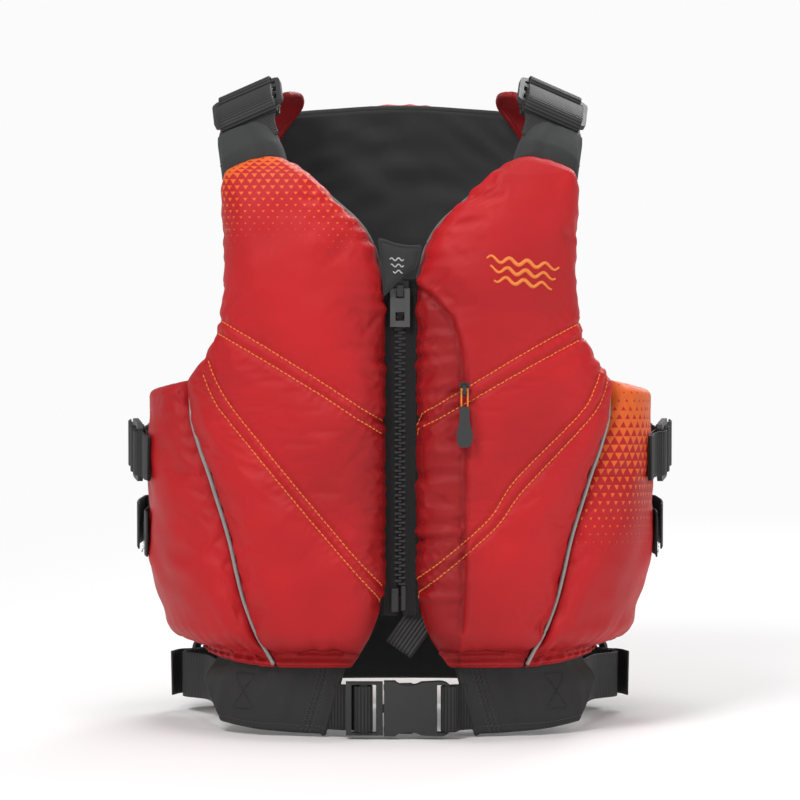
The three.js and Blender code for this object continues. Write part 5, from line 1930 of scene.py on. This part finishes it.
def pocket_zip():
    """Tape and coil, deep in the pocket seam."""
    points, normals = FRONT["left"].line(POCKET_ZIP, step=1.2)
    across = unit(np.cross(normals, tangents(points)))
    o = ribbon("pocket_zip_tape", points - normals * 2.0, across, normals, 5.4, 1.0, ZIP_TAPE)
    piece(o, "left_front", "zip", "pocket_zip")
    coil = [(points - normals * 1.5 + across * aside, normals) for aside in (-0.55, 0.55)]
    sew("pocket_zip_coil", BLACK_THREAD, "left_front", "zip", (COIL_THREAD, coil))


def chest_embroidery():
    """Three waves in satin stitch: short threads laid across each line."""
    panel, groups = FRONT["left"], []
    for k, (z, phase) in enumerate(((392, 0.0), (384, 0.6), (376, 1.2))):
        xs = np.linspace(70, 128, 60)[k * 3 : 60 - k * 3]
        wave = [(x, z + (x - 99) * -0.13 + 2.4 * math.sin((x - 70) * 2 * math.pi / 14.5 + phase))
                for x in xs]
        points, normals = resample(*panel.surface(panel.find(wave)), 0.62)
        across = sideways(points, normals)
        reach = 1.75 * (0.55 + 0.45 * np.sin(np.linspace(0, np.pi, len(points))))
        for point, normal, side, half in zip(points, normals, across, reach):
            path = np.stack([point - side * half, point + 0.35 * normal, point + side * half])
            style = dict(length=2 * half * 0.96, gap=0.0, radius=0.36, lift=0.1, jitter=0.0)
            groups.append((style, [(path, repeated(normal, 3))]))
    sew("chest_embroidery", ORANGE_THREAD, "left_front", "cord", *groups)


def hold_tab():
    """Ribbed webbing folded double, leaning at the foot of the zip."""
    lean = math.radians(35)
    up = np.array([math.sin(lean), 0, math.cos(lean)])
    across = np.array([math.cos(lean), 0, -math.sin(lean)])
    # place along the tab, y from its middle
    fold = ((24, -1.2), (14, -1.3), (4, -1.4), (-6, -1.5), (-11, -1.6), (-13.2, 0.0), (-11, 1.6),
            (-6, 1.5), (4, 1.4), (14, 1.3), (24, 1.2))
    centre = np.array([6.5, -100.3, 84.0])
    path = spline([centre + up * along + np.array([0, y, 0]) for along, y in fold], 0.8)
    o = strap("hold_tab_loop", path, across, 25.0, 1.7, TAB_WEBBING, nu=50,
              relief=lambda place, run: 0.32 * np.cos(place * 2 * np.pi / 3.1))
    piece(o, "left_front", "webbing", "hold_tab")


pocket_zip()
chest_embroidery()
hold_tab()

# ------------------------------------------------------------------ camera, floor, light (metres)
CAMERA_DISTANCE = 7.3
FLOOR_SIZE = 14
BACKDROP = (0.965, 0.965, 0.965)
lowest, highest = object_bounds()
middle = (lowest + highest) / 2
target = Vector((middle.x, middle.y, middle.z))


def look_at_target(o):
    o.rotation_euler = (target - o.location).to_track_quat("-Z", "Y").to_euler()


def add_camera():
    camera = bpy.data.objects.new("camera", bpy.data.cameras.new("camera"))
    SCENE.collection.objects.link(camera)
    camera.data.lens = 400
    camera.data.sensor_width = 36
    height = math.radians(FRONT_VIEW)
    camera.location = target + Vector((0, -math.cos(height), math.sin(height))) * CAMERA_DISTANCE
    look_at_target(camera)
    camera.data.clip_start, camera.data.clip_end = 0.05, 30
    SCENE.camera = camera


def floor_paper():
    """Pale paper that turns into the backdrop's glow away from the jacket."""
    mat = material("floor_paper", (0.9, 0.9, 0.9), rough=0.95, spec=0.1)
    graph = Graph(mat)
    place = graph.obj()
    dist = graph.node("ShaderNodeVectorMath", operation="LENGTH")
    graph.link(place, dist.inputs[0])
    grain = graph.noise(place, scale=320.0, detail=2)
    graph.feed(Base_Color=graph.mix(grain, (0.885, 0.885, 0.885), (0.905, 0.905, 0.905)))
    glow = graph.node("ShaderNodeEmission")
    glow.inputs["Color"].default_value = (*BACKDROP, 1)
    glow.inputs["Strength"].default_value = 1.0
    mixer = graph.node("ShaderNodeMixShader")
    graph.link(graph.ramp(dist.outputs["Value"], 0.55, 1.5), mixer.inputs[0])
    graph.link(graph.shader.outputs[0], mixer.inputs[1])
    graph.link(glow.outputs[0], mixer.inputs[2])
    graph.link(mixer.outputs[0], graph.tree.nodes["Material Output"].inputs["Surface"])
    return mat


def add_floor():
    half = FLOOR_SIZE / 2
    me = bpy.data.meshes.new("floor")
    corners = [(-half, -half, 0), (half, -half, 0), (half, half, 0), (-half, half, 0)]
    me.from_pydata(corners, [], [(0, 1, 2, 3)])
    floor = bpy.data.objects.new("floor", me)
    floor.location = (0, 0, lowest.z - 0.001)
    SCENE.collection.objects.link(floor)
    me.materials.append(floor_paper())


def add_world():
    """Bright to the camera, dimmer as a light."""
    world = bpy.data.worlds.new("studio")
    SCENE.world = world
    world.use_nodes = True
    tree = world.node_tree
    background = tree.nodes["Background"]
    background.inputs[0].default_value = (*BACKDROP, 1)
    seen = tree.nodes.new("ShaderNodeLightPath")
    amount = tree.nodes.new("ShaderNodeMapRange")
    amount.inputs[3].default_value, amount.inputs[4].default_value = 0.36, 1.0
    tree.links.new(seen.outputs["Is Camera Ray"], amount.inputs[0])
    tree.links.new(amount.outputs[0], background.inputs[1])


def add_light(name, location, size, power):
    light = bpy.data.lights.new(name, "AREA")
    light.size, light.energy = size, power
    o = bpy.data.objects.new(name, light)
    o.location = location
    SCENE.collection.objects.link(o)
    look_at_target(o)


add_camera()
add_floor()
add_world()
add_light("key", location=(-1.0, -1.8, 2.1), size=0.9, power=43)
add_light("fill", location=(1.9, -1.7, 1.0), size=1.6, power=14)
add_light("top", location=(0.1, -0.2, 2.5), size=1.0, power=20)
add_light("rim", location=(1.0, 2.2, 1.7), size=1.2, power=36)
SCENE.view_settings.view_transform = "Standard"
